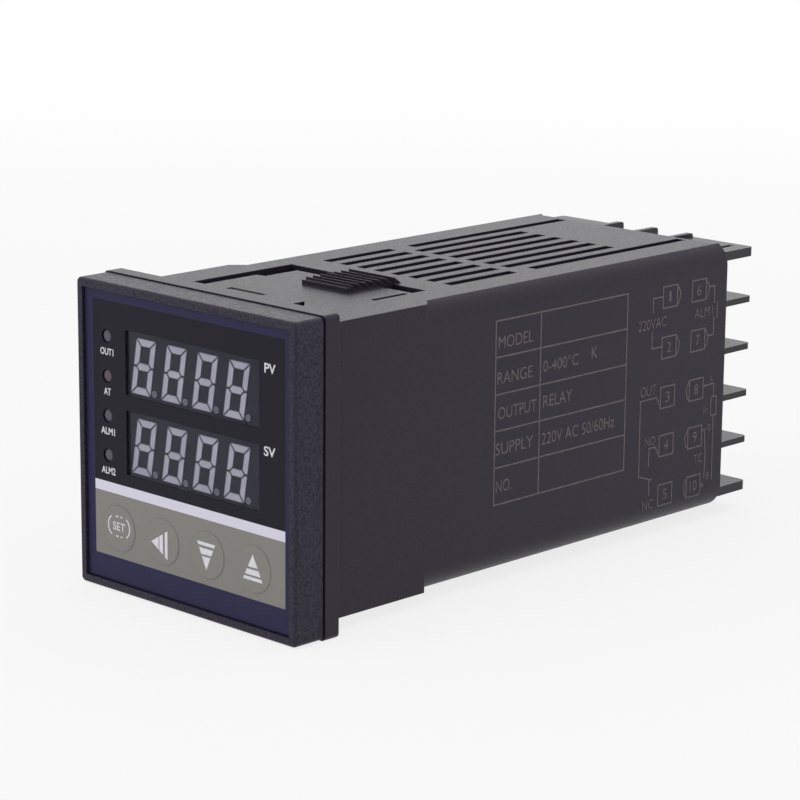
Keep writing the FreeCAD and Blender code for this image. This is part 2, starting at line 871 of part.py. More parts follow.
def make_front_frame():
    """Bezel moulding: film seat, plate with its openings, hollow rim and the skirt that slides in."""
    body = new_body("front_frame")
    rim = pad(body, "XZ_Plane", "rim", [centred(frame_half, frame_half)], frame_front, frame_back)
    corners = round_edges(body, rim, "rim_corners", S.frame_corner, lambda edge: runs_along(edge, "y"))
    face = frame_front.number

    def on_face(edge):
        """The edges round the rim's front."""
        return abs(edge.CenterOfMass.y - face) < TOUCH

    round_edges(body, corners, "rim_edge", S.frame_edge, on_face)
    seat = film_half + S.film_gap
    pocket(body, "XZ_Plane", "film_seat", [centred(seat, seat)], frame_front, film_back)
    hollow = frame_half - S.frame_rim
    pocket(body, "XZ_Plane", "hollow", [centred(hollow, hollow)], plate_back, frame_back)
    skirt = [
        centred(skirt_half, skirt_top),
        centred(skirt_half - S.skirt_wall, skirt_top - S.skirt_wall),
    ]
    pad(body, "XZ_Plane", "skirt", skirt, plate_back, S.skirt_length)

    wide = S.module_width / 2 + S.module_gap
    tall = S.module_height / 2 + S.module_gap
    opening = rectangle(S.module_x - wide, lower_row - tall, S.module_x + wide, S.window_z + tall)
    pocket(body, "XZ_Plane", "display_opening", [opening], film_back, plate_back)
    lamp = [("circle", -lamp_x, lowest_lamp, S.lamp_hole)]
    lamp_hole = pocket(body, "XZ_Plane", "lamp_hole", lamp, film_back, plate_back)
    repeat(body, "lamp_holes", [lamp_hole], "Z", S.lamp_pitch, S.lamp_count)
    bore = [("circle", first_key, lowest_key, S.key_bore)]
    key_hole = pocket(body, "XZ_Plane", "key_hole", bore, film_back, plate_back)
    repeat(body, "key_holes", [key_hole], "X", S.key_pitch, 4)

    # snap arms with a sloped nib, one under each wall of the case
    nib_top = skirt_top + S.nib_rise
    arm_start = S.skirt_length - S.skirt_wall
    arm_end = S.skirt_length + S.latch_length
    arm = [
        (arm_start, skirt_top - S.skirt_wall),
        (arm_end, skirt_top - S.skirt_wall),
        (arm_end, skirt_top - S.skirt_wall / 2),
        (S.snap_hole_start + S.snap_hole_side, nib_top),
        (S.snap_hole_start, nib_top),
        (S.snap_hole_start, skirt_top),
        (arm_start, skirt_top),
    ]
    left = S.snap_hole_left - S.latch_side_gap
    latch = pad(body, "YZ_Plane", "snap_arm", [arm], left, left + S.latch_width)
    mirror(body, "lower_snap_arm", [latch], "XY_Plane")
    keep("front_frame", body)


def make_film():
    """Printed front film, die-cut for the windows and lamps, with a raised dome over each key."""
    body = new_body("front_film")
    windows = []
    for level in (S.window_z, lower_row):
        windows.append(centred(S.window_width / 2, S.window_height / 2, S.window_x, level))
    pad(body, "XZ_Plane", "sheet", [centred(film_half, film_half), *windows], film_front, film_back)
    lamp = [("circle", -lamp_x, lowest_lamp, S.lamp_hole)]
    lamp_hole = pocket(body, "XZ_Plane", "lamp_hole", lamp, film_front, film_back)
    repeat(body, "lamp_holes", [lamp_hole], "Z", S.lamp_pitch, S.lamp_count)
    dome = [("circle", first_key, lowest_key, S.dome_radius)]
    raised = pad(body, "XZ_Plane", "dome", dome, film_front - S.dome_height, film_front)
    repeat(body, "domes", [raised], "X", S.key_pitch, 4)
    keep("front_film", body)


def make_window_panes():
    """Clear tinted panes that close the two display windows."""
    body = new_body("window_panes")
    panes = []
    for level in (S.window_z, lower_row):
        wide = S.window_width / 2 - S.pane_gap
        tall = S.window_height / 2 - S.pane_gap
        panes.append(centred(wide, tall, S.window_x, level))
    pad(body, "XZ_Plane", "panes", panes, film_back - S.pane_thickness, film_back)
    keep("window_panes", body)


make_front_frame()
make_film()
make_window_panes()

# ---------------------------------------------------------------- displays


def digit_loops(across, up):
    """The seven leaning segments of a digit: mitred bars outside, and a pointed bar between."""
    wide, tall = S.digit_width / 2, S.digit_height / 2
    thick, gap = S.segment_width, S.segment_gap
    tip = thick / 2
    inner = wide - thick
    cap = [(gap - wide, tall), (wide - gap, tall), (inner - gap, tall - thick), (gap - inner, tall - thick)]
    low, high = tip + gap, tall - thick - gap
    side = [(-wide, tall - gap), (-wide, gap), (tip - wide, gap), (-inner, low), (-inner, high)]
    right = [(wide - tip - gap, length(0)), (inner - gap, tip), (gap - inner, tip)]
    loops = [right + [(-x, -z) for x, z in right]]
    for flip in (1, -1):
        loops.append([(x, z * flip) for x, z in cap])
        loops.append([(x, z * flip) for x, z in side])
        loops.append([(-x, z * flip) for x, z in side])
    return [[(across + x + z * S.digit_slant, up + z) for x, z in loop] for loop in loops]


def make_display(name, window_level, digit_level):
    """A four-digit numeric module, and the pale segments that stand in its face."""
    wide, tall = S.module_width / 2, S.module_height / 2
    body = new_body(name + "_display")
    shell = centred(wide, tall, S.module_x, window_level)
    pad(body, "XZ_Plane", "housing", [shell], module_face, front_board_face)
    keep(name + "_display", body)

    digits = new_body(name + "_segments")
    first = S.digit_x - S.digit_pitch * (S.digit_count - 1) / 2
    loops = digit_loops(first, digit_level)
    foot = digit_level - (S.digit_height - S.segment_width) / 2
    point_x = first - S.digit_slant * (digit_level - foot) + S.point_offset
    loops.append(("circle", point_x, foot, S.point_radius))
    digit = pad(digits, "XZ_Plane", "digit", loops, module_face - S.segment_rise, module_face)
    repeat(digits, "digits", [digit], "X", S.digit_pitch, S.digit_count)
    keep(name + "_segments", digits)


make_display("pv", S.window_z, S.digit_z)
make_display("sv", lower_row, S.digit_z - S.row_pitch)


def make_lamps():
    """Round indicator lamps, standing on the front board."""
    body = new_body("indicator_lamps")
    circle = [("circle", -lamp_x, lowest_lamp, S.lamp_radius)]
    tip = film_front + S.lamp_set_back
    lamp = pad(body, "XZ_Plane", "lamp", circle, tip, front_board_face)
    repeat(body, "lamps", [lamp], "Z", S.lamp_pitch, S.lamp_count)
    keep("indicator_lamps", body)


make_lamps()

# ---------------------------------------------------------------- keys and switches

KEY_NAMES = ("set", "shift", "down", "up")
flange_front = plate_back + S.key_rest_gap
flange_back = flange_front + S.key_flange
switch_face = front_board_face - S.switch_height


def make_key(name, across):
    """A round key under the film, flanged so that it can't fall out, and its switch's stem."""
    body = new_body("key_" + name)
    cap = [("circle", across, lowest_key, S.key_radius)]
    pad(body, "XZ_Plane", "cap", cap, film_back + S.face_gap, flange_front)
    flange = [("circle", across, lowest_key, S.key_flange_radius)]
    pad(body, "XZ_Plane", "collar", flange, flange_front, flange_back)
    keep("key_" + name, body)
    start = (across, flange_back, lowest_key)
    keep("stem_" + name, rod("stem_" + name, "Y", S.stem_radius, start, S.stem_length))


for index, name in enumerate(KEY_NAMES):
    make_key(name, first_key + S.key_pitch * index)


def make_switches():
    """Square tactile switches, one behind each key, bored for the stem."""
    body = new_body("tact_switches")
    half = S.switch_width / 2
    shell = [centred(half, half, first_key, lowest_key)]
    case = pad(body, "XZ_Plane", "case", shell, switch_face, front_board_face)
    circle = [("circle", first_key, lowest_key, S.stem_bore)]
    bore = pocket(body, "XZ_Plane", "bore", circle, switch_face, switch_face + S.stem_bore_depth)
    repeat(body, "switches", [case, bore], "X", S.key_pitch, 4)
    keep("tact_switches", body)


make_switches()

# ---------------------------------------------------------------- circuit boards


def make_front_board():
    """Board behind the face: it carries the displays, the lamps and the switches."""
    body = new_body("front_board")
    half = skirt_half - S.skirt_wall - S.slide_gap
    tall = skirt_top - S.skirt_wall - S.slide_gap
    pad(body, "XZ_Plane", "board", [centred(half, tall)], front_board_face, front_board_back)
    keep("front_board", body)


def make_side_board(name, inner_x, outer_x):
    """Long board on edge in the case's ribs, with a narrow head and a contact tongue behind."""
    body = new_body(name)
    start = front_board_back + S.board_front_gap
    narrow = board_half_height - S.board_notch
    upper = [
        (start, narrow),
        (S.board_shoulder, narrow),
        (S.board_shoulder, board_half_height),
        (board_step, board_half_height),
        (board_step, narrow),
        (board_end, narrow),
    ]
    lower = [(along, -up) for along, up in reversed(upper)]
    pad(body, "YZ_Plane", "board", [lower + upper], inner_x, outer_x)
    keep(name, body)


make_front_board()
make_side_board("signal_board", -board_outer_x, -side_board_x)
make_side_board("supply_board", side_board_x, board_outer_x)


def make_link_strips():
    """Plug strips that join the front board to the heads of the side boards."""
    strips = []
    for name, left in (("signal_strip", -side_board_x), ("supply_strip", side_board_x - S.strip_depth)):
        low = (left, front_board_back, -S.strip_length / 2)
        high = (left + S.strip_depth, front_board_back + S.strip_depth, S.strip_length / 2)
        strips.append(block(name, low, high))
    keep("link_strips", gather("strips", strips))


make_link_strips()

# ---------------------------------------------------------------- supply board components


def make_transformer():
    """Laminated core in the shape of a figure eight, and the coil round its centre leg."""
    coil_low = side_board_x - S.coil_depth
    core_high = side_board_x - S.coil_lift
    core = new_body("transformer_core")
    outer = centred(S.core_length / 2, S.core_height / 2, S.core_y, 0)
    window_half = S.core_height / 2 - S.core_yoke
    loops = [outer]
    for side in (-1, 1):
        middle = S.core_y + (S.core_leg + S.core_window) / 2 * side
        loops.append(centred(S.core_window / 2, window_half, middle, 0))
    pad(core, "YZ_Plane", "stack", loops, core_high - S.core_stack, core_high)
    keep("transformer_core", core)

    coil = new_body("transformer_coil")
    reach = S.core_leg / 2 + S.core_window - S.coil_gap
    hole = S.core_leg / 2 + S.coil_gap
    around = rectangle(coil_low, S.core_y - reach, side_board_x, S.core_y + reach)
    core_low = core_high - S.core_stack
    leg = rectangle(core_low - S.coil_gap, S.core_y - hole, core_high + S.coil_gap, S.core_y + hole)
    high = window_half - S.coil_gap
    wound = pad(coil, "XY_Plane", "winding", [around, leg], -high, high)
    far = coil_low.number
    round_edges(coil, wound, "soft_corners", S.relay_corner * 2,
                lambda edge: runs_along(edge, "z") and abs(edge.CenterOfMass.x - far) < TOUCH)
    keep("transformer_coil", coil)


def make_relay(name, level):
    """Sealed relay: a plain case with rounded corners."""
    body = new_body(name)
    outline = centred(S.relay_length / 2, S.relay_height / 2, S.relay_y, level)
    shell = pad(body, "YZ_Plane", "case", [outline], side_board_x - S.relay_depth, side_board_x)
    round_edges(body, shell, "corners", S.relay_corner, lambda edge: runs_along(edge, "x"))
    keep(name, body)


def make_small_cans():
    """Two upright electrolytic cans beside the transformer."""
    cans = []
    for index in range(2):
        level = S.small_can_z + S.small_can_pitch * index
        start = (side_board_x - S.small_can_length, S.gap_row_y, level)
        cans.append(rod(f"can_{index}", "X", S.small_can_radius, start, S.small_can_length))
    keep("small_capacitors", gather("cans", cans))


def make_diodes():
    """Four rectifier diodes lying side by side."""
    diodes = []
    for index in range(4):
        level = S.diode_z + S.diode_pitch * index
        start = (side_board_x - S.diode_lift, S.gap_row_y - S.diode_length / 2, level)
        diodes.append(rod(f"diode_{index}", "Y", S.diode_radius, start, S.diode_length))
    keep("rectifier_diodes", gather("diodes", diodes))


def make_varistor():
    """Coated disc that stands on edge at the mains input."""
    centre_x = side_board_x - S.varistor_radius - S.varistor_lift
    start = (centre_x, S.gap_row_y - S.varistor_thickness / 2, -S.varistor_z)
    keep("surge_varistor", rod("surge_varistor", "Y", S.varistor_radius, start, S.varistor_thickness))


make_transformer()
make_relay("output_relay", S.relay_z)
make_relay("alarm_relay", -S.relay_z)
make_small_cans()
make_diodes()
make_varistor()

# ---------------------------------------------------------------- signal board components


def make_chip(body, name, along, level, long, pins):
    """Dual in-line package: a body and two rows of pins down to the board."""
    face = -side_board_x
    half = S.chip_width / 2
    outline = centred(long / 2, half, along, level)
    pad(body, "YZ_Plane", name + "_body", [outline], face + S.chip_lift, face + S.chip_lift + S.chip_height)
    first = along - S.chip_pin_pitch * (pins - 1) / 2
    reach = half + S.pin_reach
    rows = [
        rectangle(first - S.pin_width / 2, level - reach, first + S.pin_width / 2, level - half),
        rectangle(first - S.pin_width / 2, level + half, first + S.pin_width / 2, level + reach),
    ]
    pin = pad(body, "YZ_Plane", name + "_pin", rows, face, face + S.chip_lift + S.chip_height / 2)
    repeat(body, name + "_pins", [pin], "Y", S.chip_pin_pitch, pins)


def make_smoothing_can():
    """Large electrolytic can: a rim at its foot, a rolled crimp above it and a plain sleeve."""
    body = new_body("smoothing_capacitor")
    foot = S.can_foot - side_board_x
    waist = foot + S.can_crimp_length
    for part, reach, low, high in (
        ("foot", S.large_can_radius, -side_board_x, foot),
        ("crimp", S.large_can_radius - S.can_crimp, foot, waist),
        ("sleeve", S.large_can_radius, waist, S.large_can_length - side_board_x),
    ):
        pad(body, "YZ_Plane", part, [("circle", S.large_can_y, S.large_can_z, reach)], low, high)
    keep("smoothing_capacitor", body)


def make_signal_parts():
    """Three packages in two sizes, and the quartz crystal between them."""
    controller = new_body("controller_chip")
    make_chip(controller, "controller", S.chip_y, -S.chip_z, S.chip_length, S.chip_pins)
    keep("controller_chip", controller)

    memory = new_body("memory_chip")
    make_chip(memory, "memory", S.small_chip_y, -S.chip_z, S.small_chip_length, S.small_chip_pins)
    keep("memory_chip", memory)

    amplifier = new_body("input_amplifier")
    make_chip(amplifier, "amplifier", S.small_chip_y, S.chip_z, S.small_chip_length, S.small_chip_pins)
    keep("input_amplifier", amplifier)

    crystal = new_body("clock_crystal")
    half_width, half_length = S.crystal_width / 2, S.crystal_length / 2
    outline = centred(half_width, half_length, S.crystal_y, -S.chip_z)
    shell = pad(crystal, "YZ_Plane", "shell", [outline], -side_board_x, S.crystal_height - side_board_x)
    round_edges(crystal, shell, "ends", S.crystal_width * CRYSTAL_END, lambda edge: runs_along(edge, "x"))
    keep("clock_crystal", crystal)


def make_regulator():
    """Voltage regulator standing on three leads, with its bored cooling tab."""
    body = new_body("voltage_regulator")
    face = -side_board_x
    foot = face + S.regulator_lead
    head = foot + S.regulator_height
    tip = head + S.tab_height
    half = S.regulator_width / 2
    y_low = S.regulator_y - S.regulator_thickness / 2
    y_high = y_low + S.regulator_thickness
    case = rectangle(foot, S.regulator_z - half, head, S.regulator_z + half)
    pad(body, "XZ_Plane", "case", [case], y_low, y_high)
    tab = rectangle(foot, S.regulator_z - half, tip, S.regulator_z + half)
    hole = ("circle", head + S.tab_height / 2, S.regulator_z, S.tab_hole)
    pad(body, "XZ_Plane", "tab", [tab, hole], y_high - S.tab_thickness, y_high)
    leads = []
    for step in (-1, 0, 1):
        leads.append(centred(S.regulator_lead / 2, S.pin_width / 2, face + S.regulator_lead / 2,
                             S.regulator_z + S.chip_pin_pitch * step))
    middle = (y_low + y_high) / 2
    pad(body, "XZ_Plane", "leads", leads, middle - S.pin_width / 2, middle + S.pin_width / 2)
    keep("voltage_regulator", body)


make_signal_parts()
make_smoothing_can()
make_regulator()

# ---------------------------------------------------------------- check and write

doc.recompute()
for thing in doc.Objects:
    if "Invalid" in thing.State or "Error" in thing.State:
        raise RuntimeError(f"{thing.Name} ({thing.Label}) did not compute: {thing.State}")
for name, thing in PARTS.items():
    if thing.Shape.isNull() or not thing.Shape.isValid() or not thing.Shape.Solids:
        raise RuntimeError(f"{name} has no valid solid")

os.makedirs("parts", exist_ok=True)
for name, thing in PARTS.items():
    thing.Shape.exportStep(os.path.join("parts", name + ".step"))
    box = thing.Shape.BoundBox
    count = len(thing.Shape.Solids)
    print(f"{name}: {count} solids, {box.XLength:.2f} x {box.YLength:.2f} x {box.ZLength:.2f} mm")
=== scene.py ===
# %% [markdown]
# # Dressing a panel temperature controller
# The instrument is a square face, a vented sleeve that passes through a panel, and a screw terminal
# block behind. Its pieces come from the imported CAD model, which holds every size and place. Blender
# adds what a mould or a lathe doesn't make: the finish of each surface, ink, lamp lenses, solder and
# wire. Loading the frame first means that every later place is read from it and none is typed twice.

# %% Load the frame
import json
import math

import bmesh
import bpy
import numpy as np
from mathutils import Matrix, Vector

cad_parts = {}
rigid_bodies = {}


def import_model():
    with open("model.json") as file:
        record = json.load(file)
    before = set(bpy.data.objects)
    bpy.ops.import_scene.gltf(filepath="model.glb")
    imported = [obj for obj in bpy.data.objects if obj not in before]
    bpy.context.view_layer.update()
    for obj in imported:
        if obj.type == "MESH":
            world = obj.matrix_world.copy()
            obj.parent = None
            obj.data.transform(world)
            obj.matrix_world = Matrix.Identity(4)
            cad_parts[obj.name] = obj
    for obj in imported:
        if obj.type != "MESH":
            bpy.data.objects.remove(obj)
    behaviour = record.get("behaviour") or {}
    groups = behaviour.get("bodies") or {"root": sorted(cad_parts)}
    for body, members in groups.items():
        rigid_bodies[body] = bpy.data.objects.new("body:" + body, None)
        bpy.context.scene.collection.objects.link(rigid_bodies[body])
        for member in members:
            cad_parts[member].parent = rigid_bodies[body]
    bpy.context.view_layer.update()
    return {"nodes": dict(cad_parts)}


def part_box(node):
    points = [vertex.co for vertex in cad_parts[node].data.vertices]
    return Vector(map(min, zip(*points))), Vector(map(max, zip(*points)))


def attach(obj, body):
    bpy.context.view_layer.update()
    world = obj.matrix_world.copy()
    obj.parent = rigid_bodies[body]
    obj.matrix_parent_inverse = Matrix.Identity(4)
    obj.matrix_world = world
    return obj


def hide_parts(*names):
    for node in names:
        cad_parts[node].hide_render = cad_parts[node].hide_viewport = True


for spare in list(bpy.data.objects):
    bpy.data.objects.remove(spare)
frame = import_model()
nodes = frame["nodes"]

# %% [markdown]
# ## Places
# Everything is in metres: X to the right, Y from the panel into the cabinet, Z up. A print or a lamp
# has to lie on the face of the piece that carries it, so the few planes that carry one are read here
# from the nodes' own boxes. The sleeve is narrower than its flange, so its side is measured on the
# vertices behind the flange. The film bulges over the keys, so its plane is measured along its rim.

# %% Planes and boxes
MM = 0.001


def box(node):
    """The lowest and the highest corner of a node, as arrays."""
    low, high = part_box(node)
    return np.array(low), np.array(high)


def points_of(node):
    """All vertices of a node's mesh, as an array of rows."""
    mesh = nodes[node].data
    flat = np.empty(len(mesh.vertices) * 3, np.float32)
    mesh.vertices.foreach_get("co", flat)
    return flat.reshape(-1, 3).astype(float)


BEHIND_FLANGE, FILM_RIM = 10 * MM, 1 * MM
film_low, film_high = box("front_film")
lamps_low, lamps_high = box("indicator_lamps")
case_points = points_of("outer_case")
side_x = case_points[case_points[:, 1] > BEHIND_FLANGE, 0].max()
floor_z = box("outer_case")[0][2]
film_points = points_of("front_film")
rim_points = film_points[np.abs(film_points[:, 2]) > film_high[2] - FILM_RIM]
film_y = rim_points[:, 1].min()
print(f"film face at {film_y / MM:.2f} mm, side of the sleeve at {side_x / MM:.2f} mm")

# %% [markdown]
# ## The camera
# A long lens from the right and a little above shows the face, the top with its slots and the printed
# side at once. A camera could be aimed by a constraint, but three turns are plainer: it stands
# upright, turns left about Z, tips down about its own X, and leans by half a degree.

# %% Camera
EYE = (0.31239, -0.28536, 0.10765)
TURN_LEFT, TIP, LEAN = math.radians(44.09), math.radians(-13.33), math.radians(0.49)
SENSOR, LENS, NEAREST = 36, 131.97, 0.01  # mm, mm and metres

camera = bpy.data.objects.new("camera", bpy.data.cameras.new("camera"))
bpy.context.scene.collection.objects.link(camera)
camera.data.sensor_width = SENSOR
camera.data.lens = LENS
camera.data.clip_start = NEAREST
camera.location = EYE
camera.rotation_mode = "QUATERNION"
stance = (
    Matrix.Rotation(TURN_LEFT, 4, "Z")
    @ Matrix.Rotation(math.pi / 2 + TIP, 4, "X")
    @ Matrix.Rotation(LEAN, 4, "Z")
)
camera.rotation_quaternion = stance.to_quaternion()
bpy.context.scene.camera = camera
print(f"camera {math.dist(EYE, (0, 0, 0)):.3f} m from the panel's centre")

# %% [markdown]
# ## Colours and nodes
# Paint charts and screens give colours as sRGB hex values, and a shader wants them linear, so one
# function turns the one into the other. A material is a small tree of nodes, and one more function
# adds a node with its settings and its links, so that each material below reads as a short recipe.
# Sockets are called by name, or by number where several of a node's sockets share one name, as in
# Math. A Mix node keeps sockets for every kind of data, so those for colours get names here.

# %% Colour and node helpers
A, B, MIXED = 6, 7, 2  # a Mix node's two colours going in, and its colour coming out


def linear(text):
    """An sRGB hex colour as linear red, green and blue, with alpha 1.

    A share of up to 0.04045 is divided by 12.92. A larger one has 0.055 added, is divided by 1.055
    and raised to the power 2.4."""
    shares = np.array([int(text[i:i + 2], 16) for i in (1, 3, 5)]) / 255
    straight = np.where(shares <= 0.04045, shares / 12.92, ((shares + 0.055) / 1.055) ** 2.4)
    return (*straight.tolist(), 1.0)


def add(tree, kind, inputs=None, **settings):
    """Add one node: settings are its own properties, inputs are values or links for its sockets."""
    node = tree.nodes.new("ShaderNode" + kind)
    for key, value in settings.items():
        setattr(node, key, value)
    for key, value in (inputs or {}).items():
        if isinstance(value, bpy.types.NodeSocket):
            tree.links.new(value, node.inputs[key])
        else:
            node.inputs[key].default_value = value
    return node


def start(name):
    """An empty material: its tree, and the object's own coordinates in metres."""
    material = bpy.data.materials.new(name)
    material.use_nodes = True
    tree = material.node_tree
    tree.nodes.clear()
    return material, tree, add(tree, "TexCoord").outputs["Object"]


print("white as linear:", linear("#ffffff")[:3])

# %% [markdown]
# ## The floor and the light
# The instrument stands on a plain pale floor that fades into white far out, so that no horizon shows.
# The floor could be lit until it is white, but that would also wash out the object. Here it keeps a
# pale paint and takes the object's shadow, and only rays from the camera, and those that reflect or
# pass through glass, see it lifted towards white. Soft boxes hang above and stand left and right, as
# in a product studio, and one far behind is what gives the top faces their grey sheen.

# %% Floor
FLOOR_RADIUS, FLOOR_SIDES = 6.0, 64
FADE_START, FADE_END, WHITEN = 0.2, 0.7, 0.8


def white_for_show(tree):
    """1 for rays that are seen directly, in a reflection or through glass, and 0 for the rest."""
    path = add(tree, "LightPath").outputs
    seen = {0: path["Is Camera Ray"], 1: path["Is Glossy Ray"]}
    mirrored = add(tree, "Math", seen, operation="MAXIMUM").outputs[0]
    through = {0: mirrored, 1: path["Is Transmission Ray"]}
    return add(tree, "Math", through, operation="MAXIMUM").outputs[0]


def floor_paint():
    """Pale matt paint, which shows a soft shadow and no shine, and fades to white farther out."""
    material, tree, place = start("pale_matt_paint")
    chalky = {"Base Color": linear("#efeff0"), "Roughness": 0.9, "Specular IOR Level": 0.1}
    paint = add(tree, "BsdfPrincipled", chalky).outputs[0]
    away = add(tree, "VectorMath", {0: place}, operation="LENGTH").outputs["Value"]
    spans = {"Value": away, "From Min": FADE_START, "From Max": FADE_END, "To Min": WHITEN}
    fade = add(tree, "MapRange", spans, interpolation_type="SMOOTHSTEP").outputs[0]
    lifted = {0: fade, 1: white_for_show(tree)}
    share = add(tree, "Math", lifted, operation="MULTIPLY").outputs[0]
    white = add(tree, "Emission", {"Color": linear("#ffffff"), "Strength": 1.0}).outputs[0]
    both = add(tree, "MixShader", {0: share, 1: paint, 2: white}).outputs[0]
    add(tree, "OutputMaterial", {"Surface": both})
    return material


angles = np.linspace(0, 2 * np.pi, FLOOR_SIDES, endpoint=False)
rim = np.stack([np.cos(angles), np.sin(angles), 0 * angles], axis=1) * FLOOR_RADIUS
rim[:, 2] = floor_z
floor_mesh = bpy.data.meshes.new("floor")
floor_mesh.from_pydata(rim.tolist(), [], [list(range(len(rim)))])
floor_mesh.materials.append(floor_paint())
floor = bpy.data.objects.new("floor", floor_mesh)
bpy.context.scene.collection.objects.link(floor)
print(f"floor at {floor_z / MM:.1f} mm")

# %% World and lamps
WORLD_LIGHT = 0.5
AIM = (0, 0.045, 0)
SOFT_BOXES = {  # where each stands and its side in metres, and its power in watts
    "soft_box_above": ((0.05, 0.10, 0.75), 0.8, 2.0),
    "soft_box_behind": ((-0.62, 0.72, 0.32), 0.6, 0.7),
    "soft_box_right": ((0.75, -0.25, 0.35), 0.5, 0.5),
    "soft_box_left": ((-0.30, -0.75, 0.35), 0.5, 1.4),
}


def studio_world():
    """Grey light for the object, and plain white where the background itself is seen."""
    world = bpy.data.worlds.new("studio")
    world.use_nodes = True
    tree = world.node_tree
    tree.nodes.clear()
    levels = {"Value": white_for_show(tree), "To Min": WORLD_LIGHT, "To Max": 1.0}
    strength = add(tree, "MapRange", levels).outputs[0]
    light = {"Color": linear("#ffffff"), "Strength": strength}
    add(tree, "OutputWorld", {"Surface": add(tree, "Background", light).outputs[0]})
    bpy.context.scene.world = world


def soft_box(name, spot, size, watts):
    """A square area lamp at a spot, turned to face the middle of the object."""
    lamp = bpy.data.lights.new(name, "AREA")
    lamp.size = size
    lamp.energy = watts
    holder = bpy.data.objects.new(name, lamp)
    holder.location = spot
    holder.rotation_mode = "QUATERNION"
    way = Vector(AIM) - Vector(spot)
    holder.rotation_quaternion = way.to_track_quat("-Z", "Y")
    bpy.context.scene.collection.objects.link(holder)


studio_world()
for name, (spot, size, watts) in SOFT_BOXES.items():
    soft_box(name, spot, size, watts)
bpy.context.scene.view_settings.view_transform = "Standard"
print(len(SOFT_BOXES), "soft boxes")

# %% [markdown]
# ## Spark-eroded plastic
# Sleeve, terminal block and front frame are moulded from a flame-proof black plastic in steel tools
# with a spark-eroded face. The eye reads it as near black with a fine, even grit and a soft grey
# sheen where light grazes it. The grit could be displaced geometry, but at a fifth of a millimetre
# its outline never shows, so a noise of that size drives a bump and mottles the tone. The tool
# leaves small radii too: a Bevel node turns the normals at sharp edges, as if each had one, so that
# every edge catches a thin light line.

# %% Moulded plastic
EDGE, EDGE_RAYS = 0.16 * MM, 6
GRIT_SHEEN = 0.06


def moulded(name, deep, pale, grain, depth, rough, gloss):
    """Black plastic: grit of a grain's size as bump, and two close tones that follow the grit."""
    material, tree, place = start(name)
    speckle = {"Vector": place, "Scale": 1 / grain, "Detail": 2.0, "Roughness": 0.6}
    grit = add(tree, "TexNoise", speckle).outputs[0]
    span = {"Value": grit, "From Min": 0.35, "From Max": 0.65}
    share = add(tree, "MapRange", span).outputs[0]
    tones = {0: share, A: linear(deep), B: linear(pale)}
    tone = add(tree, "Mix", tones, data_type="RGBA").outputs[MIXED]
    skin = {"Value": share, "To Min": rough + GRIT_SHEEN, "To Max": rough - GRIT_SHEEN}
    sheen = add(tree, "MapRange", skin).outputs[0]
    edge = add(tree, "Bevel", {"Radius": EDGE}, samples=EDGE_RAYS).outputs["Normal"]
    hollows = {"Height": grit, "Distance": depth, "Strength": 1.0, "Normal": edge}
    pits = add(tree, "Bump", hollows).outputs[0]
    shader = {"Base Color": tone, "Roughness": sheen, "Specular IOR Level": gloss, "Normal": pits}
    add(tree, "OutputMaterial", {"Surface": add(tree, "BsdfPrincipled", shader).outputs[0]})
    return material


# The sleeve is fine and even, the block is the glossiest, and the frame has the coarsest grit.
sleeve_plastic = moulded("eroded_black_sleeve", "#1e1a27", "#27222f",
                         0.22 * MM, 0.008 * MM, 0.42, 0.26)
block_plastic = moulded("eroded_black_block", "#1a1720", "#231f29",
                        0.24 * MM, 0.008 * MM, 0.4, 0.36)
frame_plastic = moulded("eroded_black_frame", "#19161f", "#322e40",
                        0.40 * MM, 0.012 * MM, 0.45, 0.24)
print("three black mouldings")

# %% [markdown]
# ## The printed film
# The face is a polycarbonate film, screen-printed from behind: a navy border, a black field for the
# displays, a pale stripe and a grey field for the keys. Each colour could be a sheet of its own, but
# the film bulges over the keys, and print follows it. So one material paints the fields by the
# object's own coordinates: the height picks a colour from a stepped ramp, and outside the two side
# limits it stays navy. The film's face has a fine texture against glare, so the eye sees flat, even
# colours with a satin sheen.

# %% Film
FIELD_LEFT, FIELD_RIGHT, FIELD_TOP = 1.8 * MM, 1.2 * MM, 1.5 * MM
KEYS_LOW, STRIPE_LOW, STRIPE_HIGH = 3.7 * MM, 13.67 * MM, 15.25 * MM
FILM_GRAIN, FILM_DEPTH = 0.35 * MM, 0.004 * MM
NAVY, FIELD_BLACK, STRIPE, KEY_GREY = "#2f2c4b", "#1b1925", "#e9e6f5", "#908d88"


